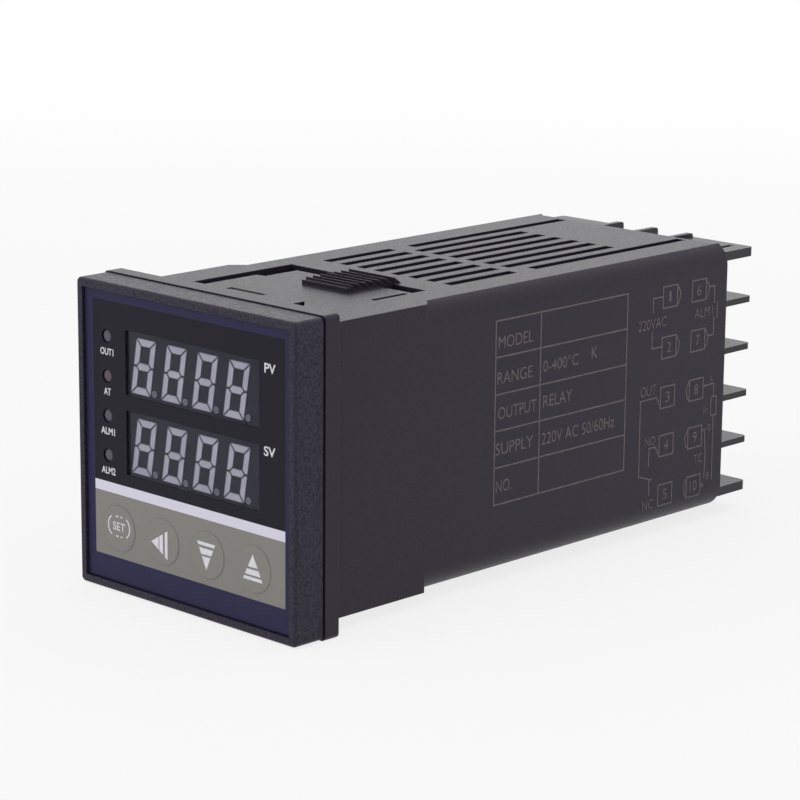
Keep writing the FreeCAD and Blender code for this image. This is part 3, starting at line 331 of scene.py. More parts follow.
def printed_film():
    """Printed polycarbonate: flat fields of ink under a satin face with a faint grain."""
    material, tree, place = start("printed_polycarbonate")
    across, _, up = add(tree, "SeparateXYZ", {0: place}).outputs
    tall = film_high[2] - film_low[2]
    span = {"Value": up, "From Min": film_low[2], "From Max": film_high[2]}
    ramp = add(tree, "ValToRGB", {"Fac": add(tree, "MapRange", span).outputs[0]})
    bands = ramp.color_ramp
    bands.interpolation = "CONSTANT"
    steps = ((0, NAVY), (KEYS_LOW, KEY_GREY), (STRIPE_LOW, STRIPE),
             (STRIPE_HIGH, FIELD_BLACK), (tall - FIELD_TOP, NAVY))
    for index, (level, ink) in enumerate(steps):
        stop = bands.elements[0] if index == 0 else bands.elements.new(level / tall)
        stop.position = level / tall
        stop.color = linear(ink)
    bands.elements.remove(bands.elements[-1])
    half = (film_high[0] - film_low[0] - FIELD_LEFT - FIELD_RIGHT) / 2
    centre = (film_high[0] + film_low[0] + FIELD_LEFT - FIELD_RIGHT) / 2
    sides = {0: across, 1: centre, 2: half}
    inside = add(tree, "Math", sides, operation="COMPARE").outputs[0]
    inks = {0: inside, A: linear(NAVY), B: ramp.outputs[0]}
    ink = add(tree, "Mix", inks, data_type="RGBA").outputs[MIXED]
    texture = {"Vector": place, "Scale": 1 / FILM_GRAIN, "Detail": 3.0}
    grain = add(tree, "TexNoise", texture).outputs[0]
    satin = add(tree, "MapRange", {"Value": grain, "To Min": 0.36, "To Max": 0.5}).outputs[0]
    edge = add(tree, "Bevel", {"Radius": EDGE}, samples=EDGE_RAYS).outputs["Normal"]
    bump = add(tree, "Bump", {"Height": grain, "Distance": FILM_DEPTH, "Normal": edge}).outputs[0]
    shader = {"Base Color": ink, "Roughness": satin, "Specular IOR Level": 0.12, "Normal": bump}
    add(tree, "OutputMaterial", {"Surface": add(tree, "BsdfPrincipled", shader).outputs[0]})
    return material


film = printed_film()
field_levels = [round(level / MM, 2) for level in (KEYS_LOW, STRIPE_LOW, STRIPE_HIGH)]
print("film fields above the lower edge, mm:", field_levels)

# %% [markdown]
# ## Behind the windows
# Each window is a thin smoked pane over a display module: a dark face with seven pale bars a digit,
# cast in milky epoxy that glows when lit and looks grey when off. The pane could be real glass, but
# refraction would keep the lamps from the digits, and a pane this thin bends nothing. So it is mostly
# clear with a smoky tint, and a glossy share that grows as it is seen more from the side.
#
# Most of the finishes that follow, plastic, ink or metal, are one coat: two close tones in small
# clouds, a roughness that follows them, and pits where the surface has some. One recipe serves all.

# %% Smoked pane, and one coat of a finish
STREAK, COAT_SHEEN = 6 * MM, 0.05


def smoked_pane():
    """A thin acrylic pane: tinted see-through, and a reflection by the Fresnel rule."""
    material, tree, place = start("smoked_acrylic")
    streaks = add(tree, "TexNoise", {"Vector": place, "Scale": 1 / STREAK}).outputs[0]
    tints = {0: streaks, A: linear("#f0f0f6"), B: linear("#fafafc")}
    tint = add(tree, "Mix", tints, data_type="RGBA").outputs[MIXED]
    clear = add(tree, "BsdfTransparent", {"Color": tint}).outputs[0]
    gloss = add(tree, "BsdfGlossy", {"Color": linear("#ffffff"), "Roughness": 0.12}).outputs[0]
    share = add(tree, "Fresnel", {"IOR": 1.12}).outputs[0]
    both = add(tree, "MixShader", {0: share, 1: clear, 2: gloss}).outputs[0]
    add(tree, "OutputMaterial", {"Surface": both})
    return material


def coat(tree, place, deep, pale, cell, rough, metal=0.0, pit=0.0, gloss=0.5):
    """One finish as a shader: two close tones in clouds of a cell's size, and pits of a depth."""
    cloud = add(tree, "TexNoise", {"Vector": place, "Scale": 1 / cell, "Detail": 3.0}).outputs[0]
    span = {"Value": cloud, "From Min": 0.3, "From Max": 0.7}
    tones = {0: add(tree, "MapRange", span).outputs[0], A: linear(deep), B: linear(pale)}
    tone = add(tree, "Mix", tones, data_type="RGBA").outputs[MIXED]
    skin = {"Value": cloud, "To Min": rough - COAT_SHEEN, "To Max": rough + COAT_SHEEN}
    sheen = add(tree, "MapRange", skin).outputs[0]
    edge = add(tree, "Bevel", {"Radius": EDGE}, samples=EDGE_RAYS).outputs["Normal"]
    bump = add(tree, "Bump", {"Height": cloud, "Distance": pit, "Normal": edge}).outputs[0]
    shader = {"Base Color": tone, "Roughness": sheen, "Metallic": metal, "Normal": bump}
    if metal < 1:
        shader["Specular IOR Level"] = gloss
    return add(tree, "BsdfPrincipled", shader).outputs[0]


def finish(name, *recipe, **more):
    """A material of a single coat."""
    material, tree, place = start(name)
    add(tree, "OutputMaterial", {"Surface": coat(tree, place, *recipe, **more)})
    return material


pane = smoked_pane()
# The display's plastic face is matt and dark, so that the unlit bars stand out on it.
display_face = finish("dark_display_face", "#2a2b35", "#31323d", 0.6 * MM, 0.5, gloss=0.2)
print("smoked pane and dark display face")

# %% [markdown]
# ## The digits' bars
# The bars are milky epoxy cast into slots of a black mask. A thin dark rim of painted shade is laid
# round the edge of each bar, so the eye sees pale bars with a dark edge, and greyer decimal points
# inside a pale ring. The rim and the ring could be pieces of their own, but a wide Bevel node finds
# the edges: where its normal leaves the flat one, an edge is near. The decimal points differ, so their
# places are measured on the mesh.

# %% Bars and decimal points
DOT, RIM, CLOUD = 0.6 * MM, 0.24 * MM, 0.25 * MM
FOOT, GAP = 0.5 * MM, 0.2 * MM


def dots_of(node):
    """Where a display's decimal points lie: the last one's x and z, and the pitch of the digits.

    Points near the foot of the row fall into groups along X, with a gap between each two, and only
    a round dot makes a group at least half as wide as the last one."""
    spots = points_of(node)
    low = spots[:, 2].min()
    foot = np.unique(np.round(spots[spots[:, 2] < low + FOOT][:, 0], 6))
    groups = np.split(foot, np.nonzero(np.diff(foot) > GAP)[0] + 1)
    ends = np.array([(group[0], group[-1]) for group in groups])
    width = ends[:, 1] - ends[:, 0]
    middles = ends[width > width[-1] / 2].mean(axis=1)
    return middles[-1], low, np.diff(middles).mean()


def cast_epoxy(node):
    """Milky bars with a dark rim of painted shade, and grey dots in a pale ring."""
    material, tree, place = start("milky_epoxy_of_" + node)
    across, _, up = add(tree, "SeparateXYZ", {0: place}).outputs
    last, low, pitch = dots_of(node)
    shifted = add(tree, "Math", {0: across, 1: last}, operation="SUBTRACT").outputs[0]
    span = {0: shifted, 1: pitch / 2, 2: -pitch / 2}
    row = add(tree, "Math", span, operation="WRAP").outputs[0]
    near = add(tree, "Math", {0: row, 1: 0.0, 2: DOT}, operation="COMPARE").outputs[0]
    below = add(tree, "Math", {0: up, 1: low + 2 * DOT}, operation="LESS_THAN").outputs[0]
    dot = add(tree, "Math", {0: near, 1: below}, operation="MULTIPLY").outputs[0]
    flat = add(tree, "NewGeometry").outputs["True Normal"]
    edge = add(tree, "Bevel", {"Radius": RIM}, samples=EDGE_RAYS).outputs["Normal"]
    normals = {0: flat, 1: edge}
    tilt = add(tree, "VectorMath", normals, operation="DOT_PRODUCT").outputs["Value"]
    limits = {"Value": tilt, "From Min": 0.9, "From Max": 0.985}
    core = add(tree, "MapRange", limits).outputs[0]
    cloud = add(tree, "TexNoise", {"Vector": place, "Scale": 1 / CLOUD}).outputs[0]
    milk = {0: cloud, A: linear("#cac7cc"), B: linear("#e0dde2")}
    # Near an edge a bar takes dark grey: painted shade where the bar meets its slot.
    bars = {0: core, A: linear("#4a4953"),
            B: add(tree, "Mix", milk, data_type="RGBA").outputs[MIXED]}
    bar = add(tree, "Mix", bars, data_type="RGBA").outputs[MIXED]
    rings = {0: core, A: linear("#b4b2b9"), B: linear("#7c7b85")}
    ring = add(tree, "Mix", rings, data_type="RGBA").outputs[MIXED]
    tone = add(tree, "Mix", {0: dot, A: bar, B: ring}, data_type="RGBA").outputs[MIXED]
    shader = {"Base Color": tone, "Roughness": 0.5, "Specular IOR Level": 0.3}
    add(tree, "OutputMaterial", {"Surface": add(tree, "BsdfPrincipled", shader).outputs[0]})
    print(f"{node}: digits {pitch / MM:.2f} mm apart")
    return material


digit_bars = {node: cast_epoxy(node) for node in ("pv_segments", "sv_segments")}

# %% Materials on the nodes


def wear(material, *names):
    """Give one material to CAD nodes by name."""
    for name in names:
        mesh = nodes[name].data
        mesh.materials.clear()
        mesh.materials.append(material)


wear(sleeve_plastic, "outer_case")
wear(block_plastic, "terminal_block")
wear(frame_plastic, "front_frame")
wear(film, "front_film")
wear(pane, "window_panes")
wear(display_face, "pv_display", "sv_display")
for node, epoxy in digit_bars.items():
    wear(epoxy, node)
print("front and case dressed")

# %% [markdown]
# ## How new pieces are made
# Ink lines, lamp lenses, solder and wire all follow one idea: an outline is carried along a path. The
# outlines are rows of points, and neighbouring rows are joined by quads. With numpy the whole grid is
# worked out at once, which is quicker and plainer than adding and moving primitives one by one.

# %% From rows of outlines to a piece


def joined(rows, ring=False):
    """Vertices and faces of an (n, m, 3) grid: row k is an outline, closed on itself.

    Point j of row k meets point j + 1 and the same two of row k + 1 in a quad. In a ring the last row
    meets the first, and otherwise the first and the last outline are filled. The outlines turn
    anticlockwise as seen from the path's far end."""
    count, around, _ = rows.shape
    index = np.arange(count * around).reshape(count, around)
    near, far = (index, np.roll(index, -1, axis=0)) if ring else (index[:-1], index[1:])
    corners = [near, np.roll(near, -1, axis=1), np.roll(far, -1, axis=1), far]
    quads = np.stack(corners, axis=-1).reshape(-1, 4).tolist()
    ends = [] if ring else [index[0, ::-1].tolist(), index[-1].tolist()]
    return rows.reshape(-1, 3), quads + ends


def piece(name, shells, material, body):
    """Put several shells, in metres, into one object that rides on a body."""
    points, faces, count = [], [], 0
    for corners, polygons in shells:
        points.append(corners)
        faces.extend([[index + count for index in polygon] for polygon in polygons])
        count += len(corners)
    mesh = bpy.data.meshes.new(name)
    mesh.from_pydata(np.concatenate(points).tolist(), [], faces)
    mesh.materials.append(material)
    made = bpy.data.objects.new(name, mesh)
    bpy.context.scene.collection.objects.link(made)
    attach(made, body)
    print(f"{name}: {len(shells)} shells, {len(faces)} faces")
    return made


print("two outlines of four points join into", len(joined(np.zeros((2, 4, 3)))[1]), "faces")

# %% [markdown]
# ## Ink
# Labels and signs are printed in thin opaque ink. They could be painted by a material, but that needs
# an image or a maze of nodes, and real ink has a crisp edge at any distance. So each mark is a thin
# plate, which stands a little proud of the surface and reaches as deep into it. A mark is drawn flat
# in millimetres, across and up, with its thickness as a third number, and is then stood on the film
# or on the sleeve's side.

# %% Flat marks
# INK, how far a mark stands out, and LAYER, the step from one mark to the next, are in mm. WELD is
# in the typeface's own units: corners closer than that become one.
INK, LAYER, WELD = 0.02, 0.0004, 1e-5
TYPE_DEPTH, TYPE_STEPS = 0.5, 4  # any depth will do, since the stretch sets it


def plate(outline):
    """A flat mark: its outline, anticlockwise, once below the surface and once above it."""
    flat = np.array(outline, float)
    levels = np.array([-INK, INK])
    rows = np.empty((2, len(flat), 3))
    rows[:, :, :2] = flat
    rows[:, :, 2] = levels[:, None]
    return joined(rows)


def line(path, width, closed=False):
    """A mitred line: each corner is pushed to both sides along the mean of its neighbours' normals.

    With unit normals a and b of the two edges at a corner, the push is (a + b) / (1 + a.b)."""
    path = np.array(path, float)
    edges = np.diff(np.vstack([path, path[:1]]) if closed else path, axis=0)
    normals = np.stack([-edges[:, 1], edges[:, 0]], axis=1) / np.linalg.norm(edges, axis=1)[:, None]
    before = np.roll(normals, 1, axis=0) if closed else np.vstack([normals[:1], normals])
    after = normals if closed else np.vstack([normals, normals[-1:]])
    push = (before + after) / (1 + (before * after).sum(axis=1))[:, None] * width / 2
    sides = np.stack([path - push, path - push, path + push, path + push], axis=1)
    rows = np.dstack([sides, np.broadcast_to([INK, -INK, -INK, INK], sides.shape[:2])])
    return joined(rows, ring=closed)


def frame_of(left, low, right, high, width):
    """The four lines of a box."""
    return line([(left, low), (right, low), (right, high), (left, high)], width, closed=True)


def arc(centre, radii, first, last, steps):
    """Points of an ellipse's arc between two angles in degrees: centre + radii * (cos, sin)."""
    turn = np.radians(np.linspace(first, last, steps))
    return np.array(centre) + np.stack([np.cos(turn), np.sin(turn)], axis=1) * np.array(radii)


def word(text, centre, width, height, weight=0.0):
    """Text in the built-in typeface, made a mesh, its seams welded, then stretched to size.

    Each corner is (corner - middle) / size of the word * wanted size + centre."""
    curve = bpy.data.curves.new("word", "FONT")
    curve.body = text
    curve.extrude = TYPE_DEPTH
    curve.offset = weight
    curve.resolution_u = TYPE_STEPS
    holder = bpy.data.objects.new("word", curve)
    mesh = bpy.data.meshes.new_from_object(holder)
    solid = bmesh.new()
    solid.from_mesh(mesh)
    bmesh.ops.remove_doubles(solid, verts=solid.verts, dist=WELD)
    bmesh.ops.dissolve_degenerate(solid, edges=solid.edges, dist=WELD)
    solid.to_mesh(mesh)
    solid.free()
    corners = np.empty(len(mesh.vertices) * 3)
    mesh.vertices.foreach_get("co", corners)
    corners = corners.reshape(-1, 3)
    low, high = corners.min(axis=0), corners.max(axis=0)
    wanted = (width, height, 2 * INK)
    corners = (corners - (low + high) / 2) / (high - low) * wanted + (*centre, 0)
    faces = [list(polygon.vertices) for polygon in mesh.polygons]
    bpy.data.curves.remove(curve)
    bpy.data.meshes.remove(mesh)
    return corners, faces


def stand(marks, where):
    """Flat marks in mm to places in metres: where turns (across, up, out) into (x, y, z).

    Each mark lies a hair's share over the one before, so that no two share a plane where they
    cross."""
    lifts = LAYER * np.arange(len(marks))
    return [(np.stack(where(*((corners + (0, 0, lift)).T * MM)), axis=1), faces)
            for lift, (corners, faces) in zip(lifts, marks)]


def on_film(across, up, out):
    """The film's face looks to -Y."""
    return across, film_y - out, up


def on_dome(across, up, out):
    """The tops of the raised keys, a little in front of the film."""
    return across, film_low[1] - out, up


def on_side(across, up, out):
    """The sleeve's right side looks to +X, and its words run from the front to the rear."""
    return side_x + out, across, up


print(f"ink {2 * INK} mm thick, half of it sunk in")

# %% [markdown]
# ## Labels and key signs on the film
# The film names the four lamps and the two rows of digits, and each key has its sign: a word in
# brackets for setting, and three arrows made of stripes, as liked on instruments because they stay
# legible when worn. The whole sign lies on the dome over its key. The ink is opaque white screen ink,
# matt and slightly uneven. A print is a drawing, so its numbers stay in the drawing: each word is
# given with its centre, its width and its height in millimetres, and some with a heavier stroke.

# %% Front print
LABEL_SHIFT, LABEL_DROP, LABEL_HEIGHT, ROW_NAME_HEIGHT = 0.1, 2.35, 1.1, 1.45
white_ink = finish("white_screen_ink", "#e6e4ec", "#f4f3f8", 0.5 * MM, 0.6, gloss=0.2)
lamp_x = (lamps_low[0] + lamps_high[0]) / 2 / MM
lamp_radius = (lamps_high[0] - lamps_low[0]) / 2 / MM
lamp_names = (("OUT1", 3.0), ("AT", 1.6), ("ALM1", 3.2), ("ALM2", 3.2))
lamp_top, lamp_foot = lamps_high[2] / MM - lamp_radius, lamps_low[2] / MM + lamp_radius
lamp_levels = np.linspace(lamp_top, lamp_foot, len(lamp_names))
labels = [
    word(text, (lamp_x + LABEL_SHIFT, level - LABEL_DROP), width, LABEL_HEIGHT, 0.025)
    for (text, width), level in zip(lamp_names, lamp_levels)
]
labels += [word("PV", (18.1, 16.3), 2.3, ROW_NAME_HEIGHT, 0.02),
           word("SV", (18.0, 4.15), 2.4, ROW_NAME_HEIGHT, 0.02)]
piece("film_labels", stand(labels, on_film), white_ink, "chassis")

# %% Key signs
SET_X, SET_Z = -15.1, -13.6
BOW_SHIFT, BOW_RADII, BOW_REACH, BOW_STEPS, BOW_WIDTH = 1.15, (1.3, 1.55), 68, 17, 0.26
DASHES, DASH_WIDTH = ((-0.75, -0.1), (0.35, 0.8)), 0.24


def striped_arrow(centre, length, wide, stops, way):
    """A triangle of a length and a width whose tip is at 0, cut into stripes between the stops.

    The half width at a share t of the length is t * wide / 2, and way turns the tip's direction."""
    stripes = []
    for near, far in stops:
        t = np.array([near, far, far, near])
        half = np.array([-1, -1, 1, 1]) * t * wide / 2
        flat = np.stack([(0.5 - t) * length, half], axis=1)[::-1]
        flat = flat[1:] if near == 0 else flat
        laid = flat[:, :1] * np.array(way) + flat[:, 1:] * np.array([-way[1], way[0]])
        stripes.append(plate(laid + np.array(centre)))
    return stripes


signs = [word("SET", (SET_X, SET_Z), 2.8, 1.3, 0.015)]
for side, outward in ((-1, 180), (1, 0)):
    first, last = outward - BOW_REACH, outward + BOW_REACH
    bow = arc((SET_X + side * BOW_SHIFT, SET_Z), BOW_RADII, first, last, BOW_STEPS)
    signs.append(line(bow, BOW_WIDTH))
for level in (SET_Z - BOW_RADII[1], SET_Z + BOW_RADII[1]):
    signs += [line([(SET_X + near, level), (SET_X + far, level)], DASH_WIDTH)
              for near, far in DASHES]
signs += striped_arrow((-5.9, -14.3), 3.7, 4.5, ((0, 0.46), (0.5, 0.72), (0.83, 1)), (-1, 0))
signs += striped_arrow((4.5, -14.15), 4.2, 4.0, ((0, 0.48), (0.55, 0.78), (0.87, 1)), (0, -1))
signs += striped_arrow((14.5, -13.7), 4.0, 4.2, ((0, 0.5), (0.58, 0.8), (0.87, 1)), (0, 1))
piece("key_signs", stand(signs, on_dome), white_ink, "chassis")

# %% [markdown]
# ## The print on the side
# The sleeve's side carries a small table and the wiring plan, both pad-printed in one grey ink that
# lets a little of the black through. Boxes with a pointed side stand for the terminals, and the lines
# between them show a contact or a sensor. It is drawn at full size in the same flat way, and the eye
# reads it as thin, dull and a little patchy.

# %% Table
HAIR, TABLE_TYPE = 0.25, 1.9
FIRST, SPLIT, LAST = 35.65, 45.9, 66.55
LEVELS = (17.37, 11.72, 5.9, 0.17, -5.6, -11.43)
grey_ink = finish("thin_grey_pad_ink", "#655a5e", "#7d7378", 0.35 * MM, 0.6, gloss=0.2)
table = [frame_of(FIRST, LEVELS[-1], LAST, LEVELS[0], HAIR),
         line([(SPLIT, LEVELS[-1]), (SPLIT, LEVELS[0])], HAIR)]
table += [line([(FIRST, level), (LAST, level)], HAIR) for level in LEVELS[1:-1]]
headings = (("MODEL", 40.15, 13.95, 7.8), ("RANGE", 40.1, 8.4, 8.0), ("OUTPUT", 40.75, 2.9, 8.8),
            ("SUPPLY", 40.2, -2.7, 8.6), ("NO.", 37.9, -8.6, 3.6))
values = (("0-400°C", 50.7, 8.7, 8.3), ("K", 58.7, 9.1, 1.45), ("RELAY", 50.1, 3.1, 6.8),
          ("220V AC 50/60Hz", 55.2, -2.85, 17.4))
table += [word(text, (along, level), width, TABLE_TYPE)
          for text, along, level, width in headings + values]
piece("side_table", stand(table, on_side), grey_ink, "case")

# %% Wiring plan
BOX_X, BOX_Z, DIGIT_HEIGHT, DIGIT_WIDTH = 1.8, 1.75, 1.75, 1.05
DIGIT_WIDTHS = {"1": 0.45, "10": 1.8}
FLAP, FLAP_TOP, FLAP_FOOT, FLAP_BACK = 0.85, 0.3, 0.9, 0.7
COLUMNS, LINES = (77.2, 84.6), (15.5, 7.2, -1.05, -9.1, -17.4)
POINT, POINT_STEPS = 0.22, 12
plan = []
for column, along in enumerate(COLUMNS):
    for row, level in enumerate(LINES):
        low, high = level - BOX_Z, level + BOX_Z
        number = str(column * len(LINES) + row + 1)
        plan.append(frame_of(along - BOX_X, low, along + BOX_X, high, HAIR))
        width = DIGIT_WIDTHS.get(number, DIGIT_WIDTH)
        plan.append(word(number, (along, level), width, DIGIT_HEIGHT))
        if row < 2 or column == 1:
            side = -1 if column == 1 and row > 1 else 1
            edge = along + BOX_X * side
            flap = [(edge, high), (edge + FLAP * side, level + FLAP_TOP),
                    (edge + FLAP * FLAP_BACK * side, level - FLAP_FOOT), (edge, low)]
            plan.append(line(flap, HAIR))
paths = (
    [(75.3, 15.7), (72.9, 15.7), (72.9, 13.2)], [(75.3, 7.5), (72.85, 7.5), (72.85, 10.4)],
    [(87.2, 15.75), (88.65, 15.7), (88.65, 13.15)], [(87.3, 7.5), (88.65, 7.6), (88.65, 10.3)],
    [(89.4, 13.1), (89.5, 10.2)],
    [(75.4, -2.7), (74.4, -0.78), (70.33, -0.8), (70.38, -13.3), (73.75, -14.4)],
    [(72.94, -14.5), (73.1, -16.98)],
    [(75.4, -10.75), (74.4, -9.05), (72.86, -8.96), (72.78, -11.8)],
    [(86.5, -0.8), (89.2, -0.72), (89.25, -2.95)], [(89.3, -6.2), (89.42, -17.3)],
    [(86.6, -8.35), (87.6, -8.2)], [(87.1, -8.35), (87.5, -12.0), (87.36, -16.7)],
    [(86.4, -17.7), (87.4, -17.7)], [(86.9, -18.2), (86.9, -17.2)],
)
plan += [line(path, HAIR) for path in paths]
plan.append(frame_of(88.6, -6.15, 90.0, -3.0, HAIR))
points = ((88.65, 13.1), (88.65, 10.35), (72.78, -11.85), (70.38, -13.3), (72.95, -14.5),
          (87.06, -8.35))
plan += [plate(arc(point, (POINT, POINT), 0, 360 - 360 / POINT_STEPS, POINT_STEPS))
         for point in points]
names = (("220VAC", 72.85, 11.6, 7.0, 1.7), ("ALM1", 85.9, 11.7, 4.7, 1.6),
         ("OUT", 72.25, 0.65, 3.9, 1.7), ("NO", 73.05, -7.85, 2.7, 1.5),
         ("NC", 72.8, -18.4, 2.7, 1.6), ("A", 88.5, 0.15, 0.9, 1.1), ("B", 88.4, -8.1, 0.9, 1.2),
         ("B", 88.35, -16.25, 0.9, 1.2), ("Rt", 87.3, -5.0, 1.2, 1.2), ("TC", 85.65, -12.9, 2.4, 1.5))
plan += [word(text, (along, level), width, height)
         for text, along, level, width, height in names]
piece("wiring_plan", stand(plan, on_side), grey_ink, "case")

# %% [markdown]
# ## Lamp lenses
# Each lamp is a light-emitting diode cast in milky epoxy, with a low dome that looks out through its
# hole in the film. A sphere could be squashed and cut, but a profile turned about an axis gives the
# barrel and the dome in one closed shell: its rows are circles, and towards the tip the radius falls
# as a quarter of an ellipse. The last circle is kept a little short of the tip and is filled, so that
# no quad shrinks to nothing. The lens fills its hole almost fully, and it reads as a flat grey disc
# while it is off. The lamp for self-tuning has a faintly red epoxy.

# %% Lamp lenses
LENS_RADIUS, DOME, DOME_SHARE, DOME_STEPS = 1.02 * MM, 0.3 * MM, 0.96, 9


def turned(places, radii, centre, axis, sides=32):
    """Circles of the radii, set at places along an axis through a centre, and joined up.

    A point is centre + place * axis + radius * (cos(a) * u + sin(a) * v), with u x v = axis."""
    axis = np.array(axis, float)
    u = np.array([0.0, 0.0, 1.0]) if abs(axis[2]) < 0.5 else np.array([1.0, 0.0, 0.0])
    v = np.cross(axis, u)
    a = np.linspace(0, 2 * np.pi, sides, endpoint=False)
    ring = np.cos(a)[:, None] * u + np.sin(a)[:, None] * v
    places, radii = np.array(places, float), np.array(radii, float)
    rows = np.array(centre) + places[:, None, None] * axis + radii[:, None, None] * ring
    return joined(rows)


grey_epoxy = finish("milky_grey_epoxy", "#54525c", "#5e5b66", 0.5 * MM, 0.5, gloss=0.3)
red_epoxy = finish("milky_faint_red_epoxy", "#5c4e57", "#67555f", 0.5 * MM, 0.5, gloss=0.3)
climb = np.linspace(0, 1, DOME_STEPS)
places = np.append(0, lamps_high[1] - lamps_low[1] - DOME + DOME * climb)
radii = np.append(LENS_RADIUS, LENS_RADIUS * np.sqrt(1 - (DOME_SHARE * climb) ** 2))
for number, level in enumerate(lamp_levels, start=1):
    foot = (lamp_x * MM, lamps_high[1], level * MM)
    shell = turned(places, radii, foot, (0, -1, 0))
    epoxy = red_epoxy if number == 2 else grey_epoxy
    lens = piece(f"lamp_lens_{number}", [shell], epoxy, "chassis")
    if number == 1:
        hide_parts("indicator_lamps")

# %% [markdown]
# ## Metals
# The screws and their square washers are zinc-plated steel, which has a bright, faintly blue skin with
# soft spots where the bath left it uneven. The contact strips are nickel-plated brass, warmer and
# satin from rolling. A pale glossy plastic would look alike from one side, but only metal tints what
# it mirrors, so both are fully metallic with the default IOR, and the spots drive their roughness.

# %% Plated metal
zinc = finish("zinc_plated_steel", "#b9bdc3", "#dfe2e6", 0.8 * MM, 0.3,
              metal=1.0, pit=0.01 * MM)
nickel = finish("nickel_plated_brass", "#cfc6ad", "#e7dfc9", 0.6 * MM, 0.28,
                metal=1.0, pit=0.008 * MM)
wear(zinc, "terminal_washers", "terminal_screws")
wear(nickel, "terminal_contacts")
print("zinc and nickel")

# %% [markdown]
# ## Circuit boards
# The boards are glass-epoxy laminate under a green solder mask, with copper tracks that show through
# as paler lines, and the mask is glossy. Tracks could be modelled, but under the mask they are only a
# change of tone, so a raster of 1.27 mm cells draws them: white noise picks for each cell whether a
# track runs along it, up it or both ways. The tail of each long board carries bare plated fingers
# for the terminal leaves, at the pitch of the terminals.

# %% Boards
RASTER, CELL, TRACK, COPPER, SPECK = 2.54 * MM, 1.27 * MM, 0.4 * MM, 0.035 * MM, 0.5 * MM
ALONG_BELOW, UP_ABOVE = 0.62, 0.52
FINGER_START, FINGER_HALF = 1.5 * MM, 2.4 * MM
WASHER, WASHERS = 6 * MM, 5
leaf_start = box("terminal_contacts")[0][1]
washer_levels = points_of("terminal_washers")[:, 2]
pitch = (washer_levels.max() - washer_levels.min() - WASHER) / (WASHERS - 1)


def solder_mask():
    """Green mask over tracks, and nickel fingers on the tail of the board.

    A point's cell is the whole part of its place / CELL, and the rest says where it lies within.
    A cell's pick is 0 to 1: under ALONG_BELOW a track runs along it, over UP_ABOVE one runs up."""
    material, tree, place = start("green_solder_mask")
    _, along, up = add(tree, "SeparateXYZ", {0: place}).outputs
    flat = add(tree, "CombineXYZ", {"X": along, "Y": up}).outputs[0]
    raster = add(tree, "VectorMath", {0: flat, "Scale": 1 / CELL}, operation="SCALE").outputs[0]
    cell = add(tree, "VectorMath", {0: raster}, operation="FLOOR").outputs[0]
    pick = add(tree, "TexWhiteNoise", {"Vector": cell}).outputs["Value"]
    within = add(tree, "VectorMath", {0: raster}, operation="FRACTION").outputs[0]
    u, v, _ = add(tree, "SeparateXYZ", {0: within}).outputs
    half = TRACK / 2 / CELL
    middle_u = add(tree, "Math", {0: u, 1: 0.5, 2: half}, operation="COMPARE").outputs[0]
    middle_v = add(tree, "Math", {0: v, 1: 0.5, 2: half}, operation="COMPARE").outputs[0]
    is_along = add(tree, "Math", {0: pick, 1: ALONG_BELOW}, operation="LESS_THAN").outputs[0]
    is_up = add(tree, "Math", {0: pick, 1: UP_ABOVE}, operation="GREATER_THAN").outputs[0]
    runs_along = add(tree, "Math", {0: middle_v, 1: is_along}, operation="MULTIPLY").outputs[0]
    runs_up = add(tree, "Math", {0: middle_u, 1: is_up}, operation="MULTIPLY").outputs[0]
    tracks = add(tree, "Math", {0: runs_along, 1: runs_up}, operation="MAXIMUM").outputs[0]
    speck = add(tree, "TexNoise", {"Vector": place, "Scale": 1 / SPECK}).outputs[0]
    greens = {0: speck, A: linear("#1d5a3a"), B: linear("#256845")}
    dark = add(tree, "Mix", greens, data_type="RGBA").outputs[MIXED]
    tones = {0: tracks, A: dark, B: linear("#3d8a5c")}
    tone = add(tree, "Mix", tones, data_type="RGBA").outputs[MIXED]
    edge = add(tree, "Bevel", {"Radius": EDGE}, samples=EDGE_RAYS).outputs["Normal"]
    rise = add(tree, "Bump", {"Height": tracks, "Distance": COPPER, "Normal": edge}).outputs[0]
    glossy = {"Base Color": tone, "Roughness": 0.3, "Normal": rise}
    mask = add(tree, "BsdfPrincipled", glossy).outputs[0]
    behind = {0: along, 1: leaf_start + FINGER_START}
    tail = add(tree, "Math", behind, operation="GREATER_THAN").outputs[0]
    row = add(tree, "Math", {0: up, 1: pitch / 2, 2: -pitch / 2}, operation="WRAP").outputs[0]
    near = add(tree, "Math", {0: row, 1: 0.0, 2: FINGER_HALF}, operation="COMPARE").outputs[0]
    finger = add(tree, "Math", {0: tail, 1: near}, operation="MULTIPLY").outputs[0]
    plating = coat(tree, place, "#d8d3c2", "#e6e2d4", 0.5 * MM, 0.25, metal=1.0)
    both = add(tree, "MixShader", {0: finger, 1: mask, 2: plating}).outputs[0]
    add(tree, "OutputMaterial", {"Surface": both})
    return material


wear(solder_mask(), "front_board", "signal_board", "supply_board")
print(f"terminals {pitch / MM:.2f} mm apart")

# %% [markdown]
# ## Parts on the boards
# Most parts are moulded or dipped plastic in one plain finish. A few join two finishes in one piece,
# such as a package and its pins, or a can and its sleeve. They could be split into pieces, but the
# place of a point or the way its surface looks tells the two apart, so one mask mixes two coats.

# %% Plain parts
# Glass-filled nylon is matt and near black, and its fibres leave a fine roughness.
nylon = finish("black_glass_filled_nylon", "#232324", "#2e2e30", 0.4 * MM, 0.5, pit=0.01 * MM)
# ABS from a finely textured mould looks even and soft.
key_abs = finish("pale_grey_abs", "#b4b4ae", "#c2c2bc", 0.6 * MM, 0.45, pit=0.006 * MM)
# A relay's polyester box is a deep, even blue with a half gloss.
relay_case = finish("blue_relay_polyester", "#235f9e", "#2a6cb2", 1.2 * MM, 0.32, pit=0.01 * MM)
